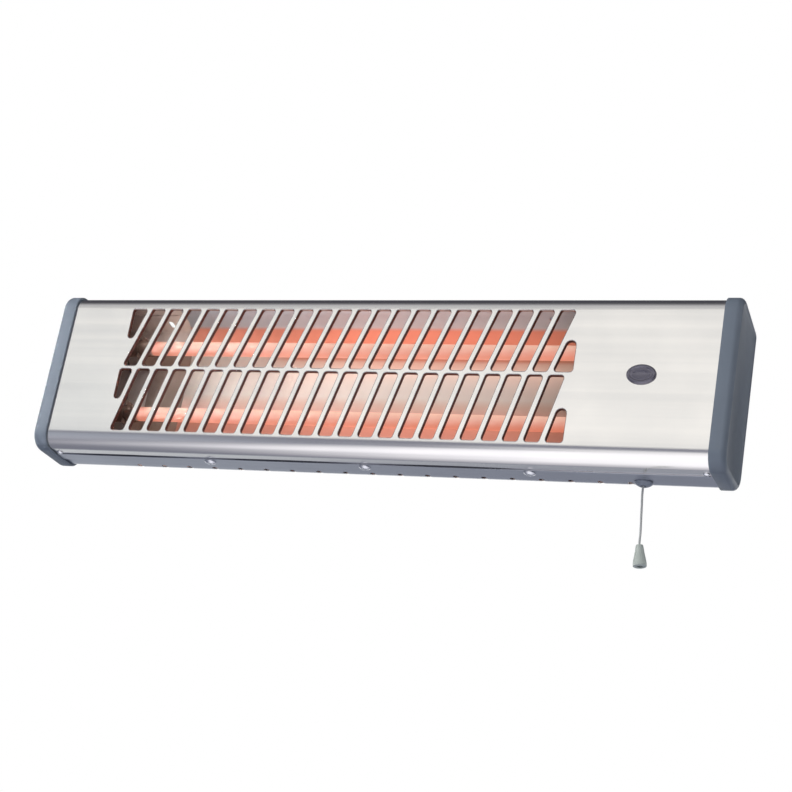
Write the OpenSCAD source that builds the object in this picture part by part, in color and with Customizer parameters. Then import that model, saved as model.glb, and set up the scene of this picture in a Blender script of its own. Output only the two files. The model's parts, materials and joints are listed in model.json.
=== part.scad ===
// Wall-hung electric bar heater: two quartz tubes in a folded steel body, behind
// a grille of slanted slots, with a pull-cord switch and two tilting brackets.
// Millimetres. X runs along the heater, Y points at the wall and Z is up.
// The origin lies on the wall, in the middle of the four fixing holes.
// Inside the body, depth is counted back from the flat front face and height
// from the bar between the two rows of slots.

/* [Body] */
// Length of the sheet body between the end caps
body_length = 560; // [500:1:700]
// Depth from the flat front face to the back panel
body_depth = 57; // [54:0.5:70]
// Height of the body below the middle bar
body_below = 70.5; // [69.5:0.5:76]
// Height above the middle bar at which the top panel meets the face
body_above = 68; // [66:0.5:74]
// Fall of the top panel from front to back
top_fall = 9.6; // [4:0.2:10.5]
// Radius of the bend along the lower front edge
front_low_bend = 13; // [10:0.5:15]
// Radius of the bend along the upper front edge
front_high_bend = 12; // [9:0.5:12.5]
// Radius of the bend along the lower back edge
back_low_bend = 12; // [8:0.5:12.5]
// Radius of the bend along the upper back edge
back_high_bend = 4.5; // [4:0.25:8]
// Thickness of the steel sheet
sheet = 0.8; // [0.6:0.1:1]
// Depth at which the lips of the front cover end
cover_lip = 31; // [30:0.5:31.5]
// Depth at which the flanges of the back housing begin
flange_front = 22; // [20:0.5:22.4]
// Width of the step that takes a flange over the cover
flange_step = 1; // [0.8:0.1:1.2]

/* [Grille] */
// Distance from the left end of the cover to the grille
grille_margin = 55.8; // [50:0.2:60]
// Number of slats in each row
slat_count = 23; // [16:1:24]
// Distance from the grille to the right end of the cover
grille_end = 111.82; // [111:0.02:121]
// Width of a slat, measured along the heater
slat_width = 5; // [4.6:0.1:6]
// Shift of the first slat at the foot of the upper row
upper_start = -0.7; // [-1.2:0.1:1.2]
// Shift of the first slat at the foot of the lower row
lower_start = 0.8; // [-1:0.1:1.4]
// Lean of the upper slats from upright, in degrees
upper_lean = 18.2; // [15:0.1:20]
// Lean of the lower slats from upright, in degrees
lower_lean = 13.8; // [12:0.1:18]
// Height of the top of the upper row
upper_row_top = 53; // [48:0.5:53.5]
// Depth below the middle bar of the foot of the lower row
lower_row_foot = 56; // [50:0.5:57]
// Height of the bar between the two rows
middle_bar = 3.5; // [3:0.1:6]
// Radius of the slot corners
slot_corner = 2.3; // [1.5:0.1:2.8]
// Radius of the narrow end of the short slots on the left
left_tip = 2.9; // [2.4:0.1:3.2]
// Radius of the narrow end of the short slots on the right
right_tip = 4; // [3.2:0.1:4.2]
// Depth to which the slot edges are turned in
slot_edge = 2.3; // [1.6:0.1:3]

/* [End caps] */
// Thickness of a cap outside the cover
cap_thickness = 13; // [11:0.5:18]
// Height of the cap rim above the cover
cap_rim = 2; // [1.6:0.1:3]
// Radius of the outer edge of a cap
cap_edge = 4.5; // [3:0.25:4.75]
// Wall of a cap
cap_wall = 2; // [1.6:0.1:2.4]
// Length of the plug that a cap pushes into the body
cap_plug = 12; // [11:0.5:16]
// Depth of the dish in the outer face of a cap
cap_dish = 0.6; // [0.3:0.1:1.2]

/* [Tubes and reflector] */
// Outer diameter of a quartz tube
tube_diameter = 12; // [10:0.5:13]
// Wall of a quartz tube
tube_wall = 1; // [0.8:0.1:1.5]
// Length by which the bare quartz tubes are longer than the grille
tube_extra = 5.62; // [-10:0.02:7]
// Distance of the tube middle from the middle of the grille
tube_shift = 11; // [6:0.5:11.5]
// Height between the two tubes
tube_spacing = 60; // [54:1:62]
// Depth of the tube axes
tube_depth = 30; // [28:0.5:31]
// Diameter of the heating coil
coil_diameter = 7; // [5:0.5:8]
// Wire of the heating coil
coil_wire = 0.9; // [0.6:0.1:1.2]
// Turns of the heating coil
coil_turns = 44; // [20:1:60]
// Diameter of a ceramic end
ceramic_diameter = 14.4; // [13.8:0.1:16.6]
// Length of a ceramic end
ceramic_length = 21; // [18:0.5:21.5]
// Depth of the socket for the tube
socket_depth = 8; // [6:0.5:10]
// Length by which the reflector is shorter than the bare tubes
reflector_trim = 38; // [26:1:58]
// Distance of the reflector middle from the middle of the tubes
reflector_shift = 9; // [0:0.5:12]
// Thickness of the reflector
reflector_sheet = 0.5; // [0.4:0.1:0.8]
// Depth of the reflector back
reflector_back = 50; // [46:0.5:50.5]
// Depth of the reflector front edges
reflector_front = 5; // [4:0.5:8]
// Radius of the reflector troughs
trough_radius = 21; // [16:0.5:22]

/* [Pull switch] */
// Distance of the cord from the right end of the cover
cord_from_end = 57; // [54:0.5:60]
// Depth of the cord
cord_depth = 40.7; // [40.6:0.1:41.5]
// Diameter of the pull cord
cord_diameter = 1.8; // [1.4:0.1:2]
// Radius at which the cord winds on the drum
drum_radius = 8; // [7:0.5:8.5]
// Width of the drum
drum_width = 5; // [4:0.5:6]
// Width of the switch
switch_width = 26; // [25:0.5:27]
// Height of the switch
switch_height = 28; // [26:0.5:29]
// Front to back size of the switch
switch_depth = 18; // [17:0.5:18.5]
// Diameter of the cord guide
guide_diameter = 14.2; // [13:0.2:14.4]
// Height of the cord guide below the body
guide_height = 3.6; // [3:0.1:5]
// Height of the knob
knob_height = 17; // [16:0.5:24]
// Diameter of the knob at its foot
knob_foot = 10.4; // [9:0.2:14]
// Diameter of the knob at its top
knob_top = 5.6; // [5.4:0.2:8]
// Lean of the knob to the right end, in degrees
knob_lean = 7.7; // [0:0.1:9]

/* [Badge] */
// Length of the oval badge
badge_length = 23.2; // [18:0.2:30]
// Height of the oval badge
badge_height = 16.2; // [12:0.2:20]
// Thickness of the oval badge
badge_thickness = 2.4; // [1.8:0.1:3]
// Distance of the badge from the right end of the cover
badge_from_end = 57.5; // [45:0.5:80]

/* [Wall brackets] */
// Distance from the wall to the back panel
wall_gap = 40; // [38:0.5:60]
// Distance from the wall to the tilt pivot
pivot_out = 20; // [18:0.5:22]
// Distance from the wall screws to the end of the cover
bracket_inset = 100; // [80:1:120]
// Height between the two holes of a bracket
hole_spacing = 50; // [46:0.5:54]
// Diameter of the wall screw holes
wall_hole = 5.5; // [4.5:0.1:6.5]
// Width of a bracket plate
bracket_width = 40; // [36:1:44]
// Height of a bracket plate
bracket_height = 76; // [74:1:78]
// Thickness of the bracket steel
bracket_steel = 2; // [1.5:0.1:2.5]
// Diameter of the pivot bolts
bolt_diameter = 6; // [5:0.5:6.5]

/* [Fasteners and wiring] */
// Distance from the outer cover screws to the end of the cover
screw_inset = 143; // [60:1:150]
// Distance from the cap screws to the end of the cover
cap_screw_end = 4.5; // [4.1:0.1:7.5]
// Depth of the cap screws
cap_screw_depth = 19; // [18:0.1:19]
// Head diameter of a cap screw
cap_screw_head = 5.4; // [4.6:0.2:5.6]
// Shank diameter of a cap screw
cap_screw_shank = 2.9; // [2.2:0.1:3]
// Depth of the cover screws
screw_depth = 27; // [26.8:0.1:27.2]
// Head diameter of a cover screw
screw_head = 9.4; // [7:0.2:9.6]
// Shank diameter of a cover screw
screw_shank = 4.2; // [3.5:0.1:4.5]
// Number of vents in each panel
vent_count = 19; // [12:1:19]
// Distance from the outermost vents to the end of the cover
vent_end = 68.05; // [67.6:0.05:100]
// Width of a vent
vent_width = 4.4; // [3:0.1:4.6]
// Length of a vent from front to back
vent_length = 10; // [6:0.5:11]
// Bore of the cable grommet
cable_bore = 7.6; // [6:0.1:8]
// Diameter of the inner wires
wire_diameter = 2.4; // [1.8:0.1:2.6]

/* [Hidden] */
$fn = 48;

// clearances
fit = 0.1;              // between sheets and pieces that lie on each other
slip = 0.05;            // round a pin or shank in its hole, on the radius
seat = 0.2;             // round a sheet in a plastic groove
eps = 0.01;
hair = 0.004;

// places along the heater
left_end = -body_length / 2;
right_end = body_length / 2;
tuck = 4;               // length of sheet that slides into a cap
terminal_from_end = 30;
grille_left = left_end + grille_margin;
grille_right = right_end - grille_end;
slat_pitch = (grille_right - grille_left) / slat_count;
tube_bare = grille_right - grille_left + tube_extra;
reflector_length = tube_bare - reflector_trim;
screw_pitch = right_end - screw_inset;
vent_pitch = 2 * (right_end - vent_end) / (vent_count - 1);
bracket_spacing = body_length - 2 * bracket_inset;
tube_middle = (grille_left + grille_right) / 2 + tube_shift;
tube_left = tube_middle - tube_bare / 2;
tube_right = tube_middle + tube_bare / 2;
reflector_left = tube_middle + reflector_shift - reflector_length / 2;
reflector_right = reflector_left + reflector_length;
cord_x = right_end - cord_from_end;
badge_x = right_end - badge_from_end;
terminal_x = right_end - terminal_from_end;

// the outline of the body, seen from its right end: depth across, height up
body_corners = [
    [0, -body_below],
    [body_depth, -body_below],
    [body_depth, body_above - top_fall],
    [0, body_above],
];
body_bends = [front_low_bend, back_low_bend, back_high_bend, front_high_bend];
top_slope = atan(top_fall / body_depth);
back_inside = body_depth - sheet;
flange_out = fit + sheet;

// ---------------------------------------------------------------- geometry

function unit(v) = v / norm(v);
function after(p, i) = p[(i + 1) % len(p)];
function before(p, i) = p[(i + len(p) - 1) % len(p)];
function outward(a, b) = [unit(b - a)[1], -unit(b - a)[0]];
function half_angle(p, i) = acos(unit(after(p, i) - p[i]) * unit(before(p, i) - p[i])) / 2;
// middle of the arc that rounds corner i of the outline p
function bend_middle(p, r, i) =
    p[i] + unit(unit(after(p, i) - p[i]) + unit(before(p, i) - p[i])) * r[i] / sin(half_angle(p, i));

// convex outline p with rounded corners of radii r, grown by the distance out;
// the sides lie a hair inside the bends, so that each side crosses its bends
module soft_outline(p, r, out = 0) {
    m = [for (i = [0 : len(p) - 1]) bend_middle(p, r, i)];
    polygon([for (i = [0 : len(p) - 1]) each [
        m[i] + outward(before(p, i), p[i]) * (r[i] + out - hair),
        m[i] + outward(p[i], after(p, i)) * (r[i] + out - hair),
    ]]);
    for (i = [0 : len(p) - 1])
        translate(m[i])
            circle(r[i] + out);
}

// the same outline as points, for a lofted surface
function soft_points(p, r, out, steps) = [
    for (i = [0 : len(p) - 1])
        let (
            m = bend_middle(p, r, i),
            n0 = outward(before(p, i), p[i]),
            n1 = outward(p[i], after(p, i)),
            a0 = atan2(n0[1], n0[0]),
            turn = acos(n0 * n1)
        )
        for (k = [0 : steps])
            m + (r[i] + out) * [cos(a0 + turn * k / steps), sin(a0 + turn * k / steps)],
];

// closed skin over a row of rings that all have the same number of points
module loft(rings) {
    n = len(rings[0]);
    last = len(rings) - 1;
    polyhedron(
        points = [for (ring = rings) each ring],
        faces = concat(
            [[for (k = [0 : n - 1]) k]],
            [for (j = [0 : last - 1], k = [0 : n - 1]) [j * n + k, (j + 1) * n + k, j * n + (k + 1) % n]],
            [for (j = [0 : last - 1], k = [0 : n - 1])
                [j * n + (k + 1) % n, (j + 1) * n + k, (j + 1) * n + (k + 1) % n]],
            [[for (k = [n - 1 : -1 : 0]) last * n + k]]
        )
    );
}

// smooth curve through the points p
function spline_point(p, i, t) =
    let (
        a = p[max(i - 1, 0)],
        b = p[i],
        c = p[i + 1],
        d = p[min(i + 2, len(p) - 1)]
    )
    b + (c - a) * t / 2 + (2 * a - 5 * b + 4 * c - d) * t * t / 2 + (3 * b - a - 3 * c + d) * t * t * t / 2;
function spline(p, steps) = concat(
    [for (i = [0 : len(p) - 2], k = [0 : steps - 1]) spline_point(p, i, k / steps)],
    [p[len(p) - 1]]
);
// direction of a path at point i
function heading(p, i) = unit(p[min(i + 1, len(p) - 1)] - p[max(i - 1, 0)]);
// ring of points square to a path; side is a direction that the path never takes
function ring_at(p, i, r, sides, side) =
    let (h = heading(p, i), u = unit(cross(h, side)), v = cross(h, u))
    [for (k = [0 : sides - 1]) p[i] + r * (cos(360 * k / sides) * u + sin(360 * k / sides) * v)];
// round wire or cord along a path
module swept(p, d, sides = 8, side = [0, 1, 0]) {
    loft([for (i = [0 : len(p) - 1]) ring_at(p, i, d / 2, sides, side)]);
}

// 2D depth and height, drawn out along the heater
module along_x(x0, x1) {
    translate([x0, 0, 0])
        rotate([90, 0, 90])
            linear_extrude(x1 - x0)
                children();
}
// 2D length and height, drawn out from depth d0 to depth d1
module in_depth(d0, d1) {
    translate([0, d1, 0])
        rotate([90, 0, 0])
            linear_extrude(d1 - d0)
                children();
}
// cylinder that runs back from depth d0 to depth d1
module rod_in_depth(x, z, d0, d1, diameter) {
    translate([x, d0, z])
        rotate([-90, 0, 0])
            cylinder(d = diameter, h = d1 - d0);
}
// hole through the back panel and what lies on it
module panel_hole(x, z, diameter) {
    rod_in_depth(x, z, back_inside - 6, body_depth + bracket_steel + 3, diameter);
}
// the body hangs in front of the wall
module in_body() {
    translate([0, -(wall_gap + body_depth), 0])
        children();
}
// on a place of the bottom panel, with local Z pointing out of the body
module on_bottom(x, depth) {
    translate([x, depth, -body_below])
        rotate([180, 0, 0])
            children();
}
// on a place of the top panel, with local Z pointing out of the body
module on_top(x, depth) {
    translate([x, depth, body_above - top_fall * depth / body_depth])
        rotate([-top_slope, 0, 0])
            children();
}
module body_outline(out = 0) {
    soft_outline(body_corners, body_bends, out);
}
// a skin of the body between two distances from its outline and two depths
module body_skin(outer, inner, d0, d1) {
    intersection() {
        difference() {
            body_outline(outer);
            body_outline(inner);
        }
        translate([d0, -2 * body_below])
            square([d1 - d0, 4 * body_below]);
    }
}
// slot with round ends, lying from front to back
module oblong_hole(width, length, height) {
    for (s = [-1, 1])
        translate([0, s * (length - width) / 2, -height / 2])
            cylinder(d = width, h = height);
    cube([width, length - width, height], center = true);
}
module hex_prism(across, height) {
    cylinder(d = across / cos(30), h = height, $fn = 6);
}

// ---------------------------------------------------------------- front cover

// foot and top of a row of slots; row 0 is the lower one
function row_foot(row) = row == 0 ? -lower_row_foot : middle_bar / 2;
function row_top(row) = row == 0 ? -middle_bar / 2 : upper_row_top;
function row_lean(row) = row == 0 ? lower_lean : upper_lean;
function row_start(row) = row == 0 ? lower_start : upper_start;
// middle line of slat k at height z, and the height at which it reaches x
function slat_x(row, k, z) =
    grille_left + row_start(row) + k * slat_pitch + (z - row_foot(row)) * tan(row_lean(row));
function slat_z(row, k, x) = row_foot(row) + (x - slat_x(row, k, row_foot(row))) / tan(row_lean(row));

// corners of slot k, which lies to the right of slat k
function slot_corners(row, k) =
    let (foot = row_foot(row), top = row_top(row), w = slat_width / 2)
    k < 0
        ? [
            [grille_left, slat_z(row, 0, grille_left + w)],
            [slat_x(row, 0, top) - w, top],
            [grille_left, top],
        ]
        : k == slat_count - 1
        ? [
            [slat_x(row, k, foot) + w, foot],
            [grille_right, foot],
            [grille_right, slat_z(row, k, grille_right - w)],
        ]
        : [
            [slat_x(row, k, foot) + w, foot],
            [slat_x(row, k + 1, foot) - w, foot],
            [slat_x(row, k + 1, top) - w, top],
            [slat_x(row, k, top) + w, top],
        ];
function slot_bends(k) =
    k < 0
        ? [left_tip, slot_corner, slot_corner]
        : k == slat_count - 1
        ? [slot_corner, slot_corner, right_tip]
        : [slot_corner, slot_corner, slot_corner, slot_corner];

module slots(grow, d0, d1) {
    for (row = [0, 1], k = [-1 : slat_count - 1])
        in_depth(d0, d1)
            soft_outline(slot_corners(row, k), slot_bends(k), grow);
}

module cover_screw_places() {
    for (k = [-1 : 1])
        translate([k * screw_pitch, 0, 0])
            children();
}
module cap_screw_places() {
    for (x = [left_end + cap_screw_end, right_end - cap_screw_end]) {
        on_bottom(x, cap_screw_depth)
            children();
        on_top(x, cap_screw_depth)
            children();
    }
}

module front_cover() {
    color("#dcdad6")
        in_body()
            difference() {
                union() {
                    along_x(left_end - tuck, right_end + tuck)
                        body_skin(0, -sheet, -1, cover_lip);
                    slots(sheet, sheet / 2, slot_edge);
                }
                slots(0, -1, slot_edge + 1);
                cover_screw_places() {
                    on_bottom(0, screw_depth)
                        cylinder(r = screw_shank / 2 + slip, h = 6, center = true);
                    on_top(0, screw_depth)
                        cylinder(r = screw_shank / 2 + slip, h = 6, center = true);
                }
                cap_screw_places()
                    cylinder(r = cap_screw_shank / 2 + slip, h = 6, center = true);
                for (s = [-1, 1])
                    rod_in_depth(badge_x + s * badge_length / 4, 0, -1, 3, badge_peg + 2 * slip);
            }
}

// ---------------------------------------------------------------- back housing

module vents() {
    for (k = [0 : vent_count - 1])
        translate([(k - (vent_count - 1) / 2) * vent_pitch, 0, 0])
            children();
}
vent_depth = 46;

// rivets through the back panel: tube holders, tilt lugs and switch bracket
holder_rivet_rise = 41;
lug_rivet_rise = 18;
function holder_rivet_x(side) = side < 0 ? tube_left + 12 : tube_right - 4;
function lug_rivet_x(side) = ear_x(side) - side * 12;
rivet_shank = 3.2;

module rivet_holes() {
    for (side = [-1, 1], s = [-1, 1]) {
        panel_hole(holder_rivet_x(side), s * holder_rivet_rise, rivet_shank + 2 * slip);
        panel_hole(lug_rivet_x(side), s * lug_rivet_rise, rivet_shank + 2 * slip);
    }
    panel_hole(cord_x, switch_rivet_z, rivet_shank + 2 * slip);
}

module rear_housing() {
    color("#8f969e")
        in_body()
            difference() {
                union() {
                    along_x(left_end - tuck, right_end + tuck)
                        body_skin(0, -sheet, cover_lip + flange_step + fit, body_depth + 1);
                    along_x(left_end + fit, right_end - fit) {
                        body_skin(flange_out, fit, flange_front, cover_lip + 2 * flange_step + fit);
                        body_skin(flange_out, -sheet, cover_lip + flange_step + fit,
                            cover_lip + 2 * flange_step + fit);
                    }
                }
                cover_screw_places() {
                    on_bottom(0, screw_depth)
                        cylinder(r = screw_shank / 2 + 4 * slip, h = 6, center = true);
                    on_top(0, screw_depth)
                        cylinder(r = screw_shank / 2 + 4 * slip, h = 6, center = true);
                }
                vents() {
                    on_bottom(0, vent_depth + 1)
                        oblong_hole(vent_width, vent_length, 12);
                    on_top(0, vent_depth)
                        oblong_hole(vent_width, vent_length, 6);
                }
                on_bottom(cord_x, cord_depth)
                    cylinder(r = guide_shank / 2 + fit, h = 6, center = true);
                rivet_holes();
                panel_hole(terminal_x, terminal_z, rivet_shank + 2 * slip);
                panel_hole(terminal_x, grommet_z, grommet_neck);
                panel_hole(earth_x, earth_z, earth_shank + 2 * slip);
                for (s = [-1, 1])
                    panel_hole(terminal_x + s * clamp_screw_x, clamp_z, clamp_shank + 2 * slip);
            }
}

// ---------------------------------------------------------------- end caps

module cap_boss() {
    translate([0, 0, -sheet - seat - cap_wall - 5])
        cylinder(d = cap_screw_shank + 3.6, h = 5 + cap_wall / 2);
}
module cap_pilot() {
    translate([0, 0, -sheet - seat - cap_wall - 6])
        cylinder(r = cap_screw_shank / 2 + slip, h = 20);
}

// cap of the right end, standing on the plane x = 0
module end_cap() {
    inner = -(sheet + seat);
    edge_steps = 5;
    // distance from the plane and from the body outline, ring by ring
    shape = concat(
        [[0, cap_rim - 0.4], [0.4, cap_rim]],
        [for (k = [0 : edge_steps])
            [
                cap_thickness - cap_edge * (1 - sin(90 * k / edge_steps)),
                cap_rim - cap_edge * (1 - cos(90 * k / edge_steps)),
            ]],
        [[cap_thickness - cap_dish, cap_rim - cap_edge - 1.4]]
    );
    difference() {
        union() {
            loft([for (s = shape)
                [for (q = soft_points(body_corners, body_bends, s[1], 8)) [s[0], q[0], q[1]]]]);
            along_x(-cap_plug, 1)
                body_outline(inner);
        }
        along_x(-cap_plug - 1, cap_thickness - cap_dish - cap_wall)
            body_outline(inner - cap_wall);
        along_x(-eps, tuck + seat)
            difference() {
                body_outline(seat);
                body_outline(inner);
            }
        on_bottom(-cap_screw_end, cap_screw_depth)
            cap_pilot();
        on_top(-cap_screw_end, cap_screw_depth)
            cap_pilot();
    }
    difference() {
        union() {
            on_bottom(-cap_screw_end, cap_screw_depth)
                cap_boss();
            on_top(-cap_screw_end, cap_screw_depth)
                cap_boss();
        }
        on_bottom(-cap_screw_end, cap_screw_depth)
            cap_pilot();
        on_top(-cap_screw_end, cap_screw_depth)
            cap_pilot();
    }
}

module right_end_cap() {
    color("#646e76")
        in_body()
            translate([right_end, 0, 0])
                end_cap();
}

module left_end_cap() {
    color("#7f9198")
        in_body()
            translate([left_end, 0, 0])
                mirror([1, 0, 0])
                    end_cap();
}

// ---------------------------------------------------------------- badge

badge_peg = 2.4;

module badge() {
    // half sizes shrink and the face rises ring by ring: edge, rim, dished field
    shape = [[0, 0.2], [0, 0.8], [0.5, 1.7], [1.3, badge_thickness], [2, badge_thickness - 0.1],
        [2.6, badge_thickness - 0.6]];
    color("#4c4a55")
        in_body() {
            loft([for (s = shape) [for (a = [0 : 7.5 : 359])
                [badge_x + (badge_length / 2 - s[0]) * cos(a), -s[1] + 0.2 - fit / 2,
                 (badge_height / 2 - s[0]) * sin(a)]]]);
            for (s = [-1, 1])
                rod_in_depth(badge_x + s * badge_length / 4, 0, -1, 2.4, badge_peg);
        }
}

// ---------------------------------------------------------------- screws

// self-tapping screw on the plane z = 0, with a flat domed head and a cross in it
module tapping_screw(head, shank, length, rise) {
    difference() {
        union() {
            cylinder(d = head, h = rise / 3);
            translate([0, 0, rise / 3])
                cylinder(d1 = head, d2 = head * 0.6, h = rise * 2 / 3);
            translate([0, 0, -length])
                cylinder(d = shank, h = length + rise / 4);
            translate([0, 0, -length - shank / 3])
                cylinder(d1 = shank / 2, d2 = shank, h = shank / 3);
        }
        for (a = [0, 90])
            rotate([0, 0, a])
                translate([-head * 0.23, -head * 0.05, rise * 0.55])
                    cube([head * 0.46, head * 0.1, rise]);
    }
}
module cover_screw() {
    translate([0, 0, flange_out + fit / 2])
        tapping_screw(screw_head, screw_shank, 8, 1.9);
}

module bottom_cover_screws() {
    color("#cfd2d6")
        in_body()
            cover_screw_places()
                on_bottom(0, screw_depth)
                    cover_screw();
}

module top_cover_screws() {
    color("#cfd2d6")
        in_body()
            cover_screw_places()
                on_top(0, screw_depth)
                    cover_screw();
}

module cap_screws() {
    color("#cfd2d6")
        in_body()
            cap_screw_places()
                translate([0, 0, fit / 2])
                    tapping_screw(cap_screw_head, cap_screw_shank, 6, 1.4);
}

// rivet with its domed head behind depth d and its upset end grip mm further in
module rivet(x, z, d, grip) {
    translate([x, d, z])
        rotate([-90, 0, 0]) {
            translate([0, 0, -grip - 1.4])
                cylinder(d = 5, h = 1.4);
            translate([0, 0, -grip - 1])
                cylinder(d = rivet_shank, h = grip + 2);
            cylinder(d1 = 6.6, d2 = 4.2, h = 1.1);
        }
}

// ---------------------------------------------------------------- reflector

reflector_corners = [
    [reflector_front - 2, -(tube_spacing / 2 + 30)],
    [reflector_back, -(tube_spacing / 2 + 19)],
    [reflector_back, tube_spacing / 2 + 19],
    [reflector_front - 2, tube_spacing / 2 + 30],
];
reflector_bends = [1, trough_radius, trough_radius, 1];
foot_rise = tube_spacing / 2;

module reflector() {
    color("#d8cfc8")
        in_body() {
            along_x(reflector_left, reflector_right)
                difference() {
                    soft_outline(reflector_corners, reflector_bends, 0);
                    soft_outline(reflector_corners, reflector_bends, -reflector_sheet);
                    translate([-10, -200])
                        square([10 + reflector_front, 400]);
                }
            // feet that stand the ends off the tube holders
            for (side = [-1, 1], s = [-1, 1])
                translate([side < 0 ? reflector_left : reflector_right, 0, s * foot_rise])
                    scale([-side, 1, 1])
                        translate([0, reflector_back - reflector_sheet, -6]) {
                            cube([1, holder_front - fit / 2 - reflector_back + reflector_sheet, 12]);
                            translate([0, holder_front - fit / 2 - reflector_back + reflector_sheet - 1, 0])
                                cube([8, 1, 12]);
                        }
        }
}

// ---------------------------------------------------------------- tube holders

holder_steel = 1;
holder_front = back_inside - fit / 2 - holder_steel;
holder_half_height = 47;
waist_depth = 1.2;
waist_width = 1.4;
// the plate stands in the waist of the ceramic end
function holder_plate_x(side) =
    side < 0 ? tube_left - ceramic_length / 2 : tube_right + ceramic_length / 2;

module tube_holder(side) {
    x = holder_plate_x(side);
    reach = side < 0 ? reflector_left + 10 - x : x - reflector_right + 10;
    foot_x = side < 0 ? x - holder_steel / 2 : x + holder_steel / 2 - reach;
    ear_front = tube_depth - ceramic_diameter / 2 + 1;
    notch = ceramic_diameter - 2 * waist_depth + 2 * fit;
    difference() {
        union() {
            translate([foot_x, holder_front, -holder_half_height])
                cube([reach, holder_steel, 2 * holder_half_height]);
            for (s = [-1, 1])
                translate([x - holder_steel / 2, ear_front, s * tube_spacing / 2 - ceramic_diameter / 2 - 3])
                    cube([holder_steel, back_inside - fit / 2 - ear_front, ceramic_diameter + 6]);
        }
        for (s = [-1, 1]) {
            translate([x, tube_depth, s * tube_spacing / 2])
                rotate([0, 90, 0])
                    cylinder(d = notch, h = 4, center = true);
            translate([x, tube_depth - ceramic_diameter / 2, s * tube_spacing / 2])
                cube([4, ceramic_diameter, notch], center = true);
            panel_hole(holder_rivet_x(side), s * holder_rivet_rise, rivet_shank + 2 * slip);
        }
    }
}

module left_tube_holder() {
    color("#8c8078")
        in_body()
            tube_holder(-1);
}

module right_tube_holder() {
    color("#8c8078")
        in_body()
            tube_holder(1);
}

// rivets of the tube holders, the switch bracket and the terminal block
module panel_rivets() {
    color("#b8bcc0")
        in_body() {
            for (side = [-1, 1], s = [-1, 1])
                rivet(holder_rivet_x(side), s * holder_rivet_rise, body_depth + fit / 2,
                    sheet + holder_steel + fit + fit / 2);
            rivet(cord_x, switch_rivet_z, body_depth + fit / 2, sheet + holder_steel + fit + fit / 2);
            rod_in_depth(terminal_x, terminal_z, terminal_front + 10.5, body_depth + fit, rivet_shank);
            rod_in_depth(terminal_x, terminal_z, body_depth + fit / 2, body_depth + 1.1, 6.2);
        }
}

// ---------------------------------------------------------------- tubes

module quartz_tube(side) {
    translate([tube_left - socket_depth + fit, tube_depth, side * tube_spacing / 2])
        rotate([0, 90, 0])
            difference() {
                cylinder(d = tube_diameter, h = tube_bare + 2 * socket_depth - 2 * fit);
                translate([0, 0, -1])
                    cylinder(d = tube_diameter - 2 * tube_wall, h = tube_bare + 2 * socket_depth + 2);
            }
}

module upper_quartz_tube() {
    color("#f2b7a4")
        in_body()
            quartz_tube(1);
}

module lower_quartz_tube() {
    color("#f2b7a4")
        in_body()
            quartz_tube(-1);
}

// open coil with a straight tail at each end, on the tube axis
function coil_path(length, tail, turns, r, per_turn) = concat(
    [[-tail, 0, 0], [-tail / 2, 0, 0]],
    [for (k = [0 : turns * per_turn])
        let (a = 360 * k / per_turn, s = min(1, k / 4, (turns * per_turn - k) / 4))
        [length * k / (turns * per_turn), r * s * cos(a), r * s * sin(a)]],
    [[length + tail / 2, 0, 0], [length + tail, 0, 0]]
);

module heating_coil(side) {
    translate([tube_left, tube_depth, side * tube_spacing / 2])
        swept(
            coil_path(tube_bare, socket_depth - fit, coil_turns, (coil_diameter - coil_wire) / 2, 8),
            coil_wire, 4, [0.02, 0.01, 1]
        );
}

module upper_heating_coil() {
    color("#e8743c")
        in_body()
            heating_coil(1);
}

module lower_heating_coil() {
    color("#e8743c")
        in_body()
            heating_coil(-1);
}

stud_diameter = 3;

// ceramic end with its mouth at x = 0 and its body towards local +X
module ceramic_end() {
    waist = ceramic_diameter - 2 * waist_depth;
    rotate([0, 90, 0])
        difference() {
            union() {
                for (part = [[0, ceramic_length / 2 - waist_width / 2],
                        [ceramic_length / 2 + waist_width / 2, ceramic_length]])
                    translate([0, 0, part[0]])
                        cylinder(d = ceramic_diameter, h = part[1] - part[0]);
                translate([0, 0, ceramic_length / 2])
                    cylinder(d = waist, h = waist_width + 1, center = true);
            }
            translate([0, 0, -1])
                cylinder(r = tube_diameter / 2 + fit, h = socket_depth + 1);
            translate([0, 0, -2])
                cylinder(r = stud_diameter / 2 + slip, h = ceramic_length + 4);
        }
}

module ceramic_at(side, s) {
    translate([side < 0 ? tube_left : tube_right, tube_depth, s * tube_spacing / 2])
        rotate([0, side < 0 ? 180 : 0, 0])
            ceramic_end();
}

module upper_left_ceramic() {
    color("#d9c9b4")
        in_body()
            ceramic_at(-1, 1);
}

module lower_left_ceramic() {
    color("#d9c9b4")
        in_body()
            ceramic_at(-1, -1);
}

module upper_right_ceramic() {
    color("#d9c9b4")
        in_body()
            ceramic_at(1, 1);
}

module lower_right_ceramic() {
    color("#d9c9b4")
        in_body()
            ceramic_at(1, -1);
}

stud_out = 6;           // length of a stud outside its ceramic end

// stud with washer and nut in the end wall of each ceramic
module tube_terminals() {
    color("#b89a54")
        in_body()
            for (side = [-1, 1], s = [-1, 1])
                translate([side < 0 ? tube_left - ceramic_length : tube_right + ceramic_length,
                        tube_depth, s * tube_spacing / 2])
                    rotate([0, side * 90, 0]) {
                        translate([0, 0, -(ceramic_length - socket_depth)])
                            cylinder(d = stud_diameter, h = ceramic_length - socket_depth + stud_out);
                        translate([0, 0, fit / 2])
                            cylinder(d = 7, h = 0.8);
                        translate([0, 0, 0.8])
                            hex_prism(5.5, 2.4);
                    }
}

// ---------------------------------------------------------------- pull switch

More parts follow.
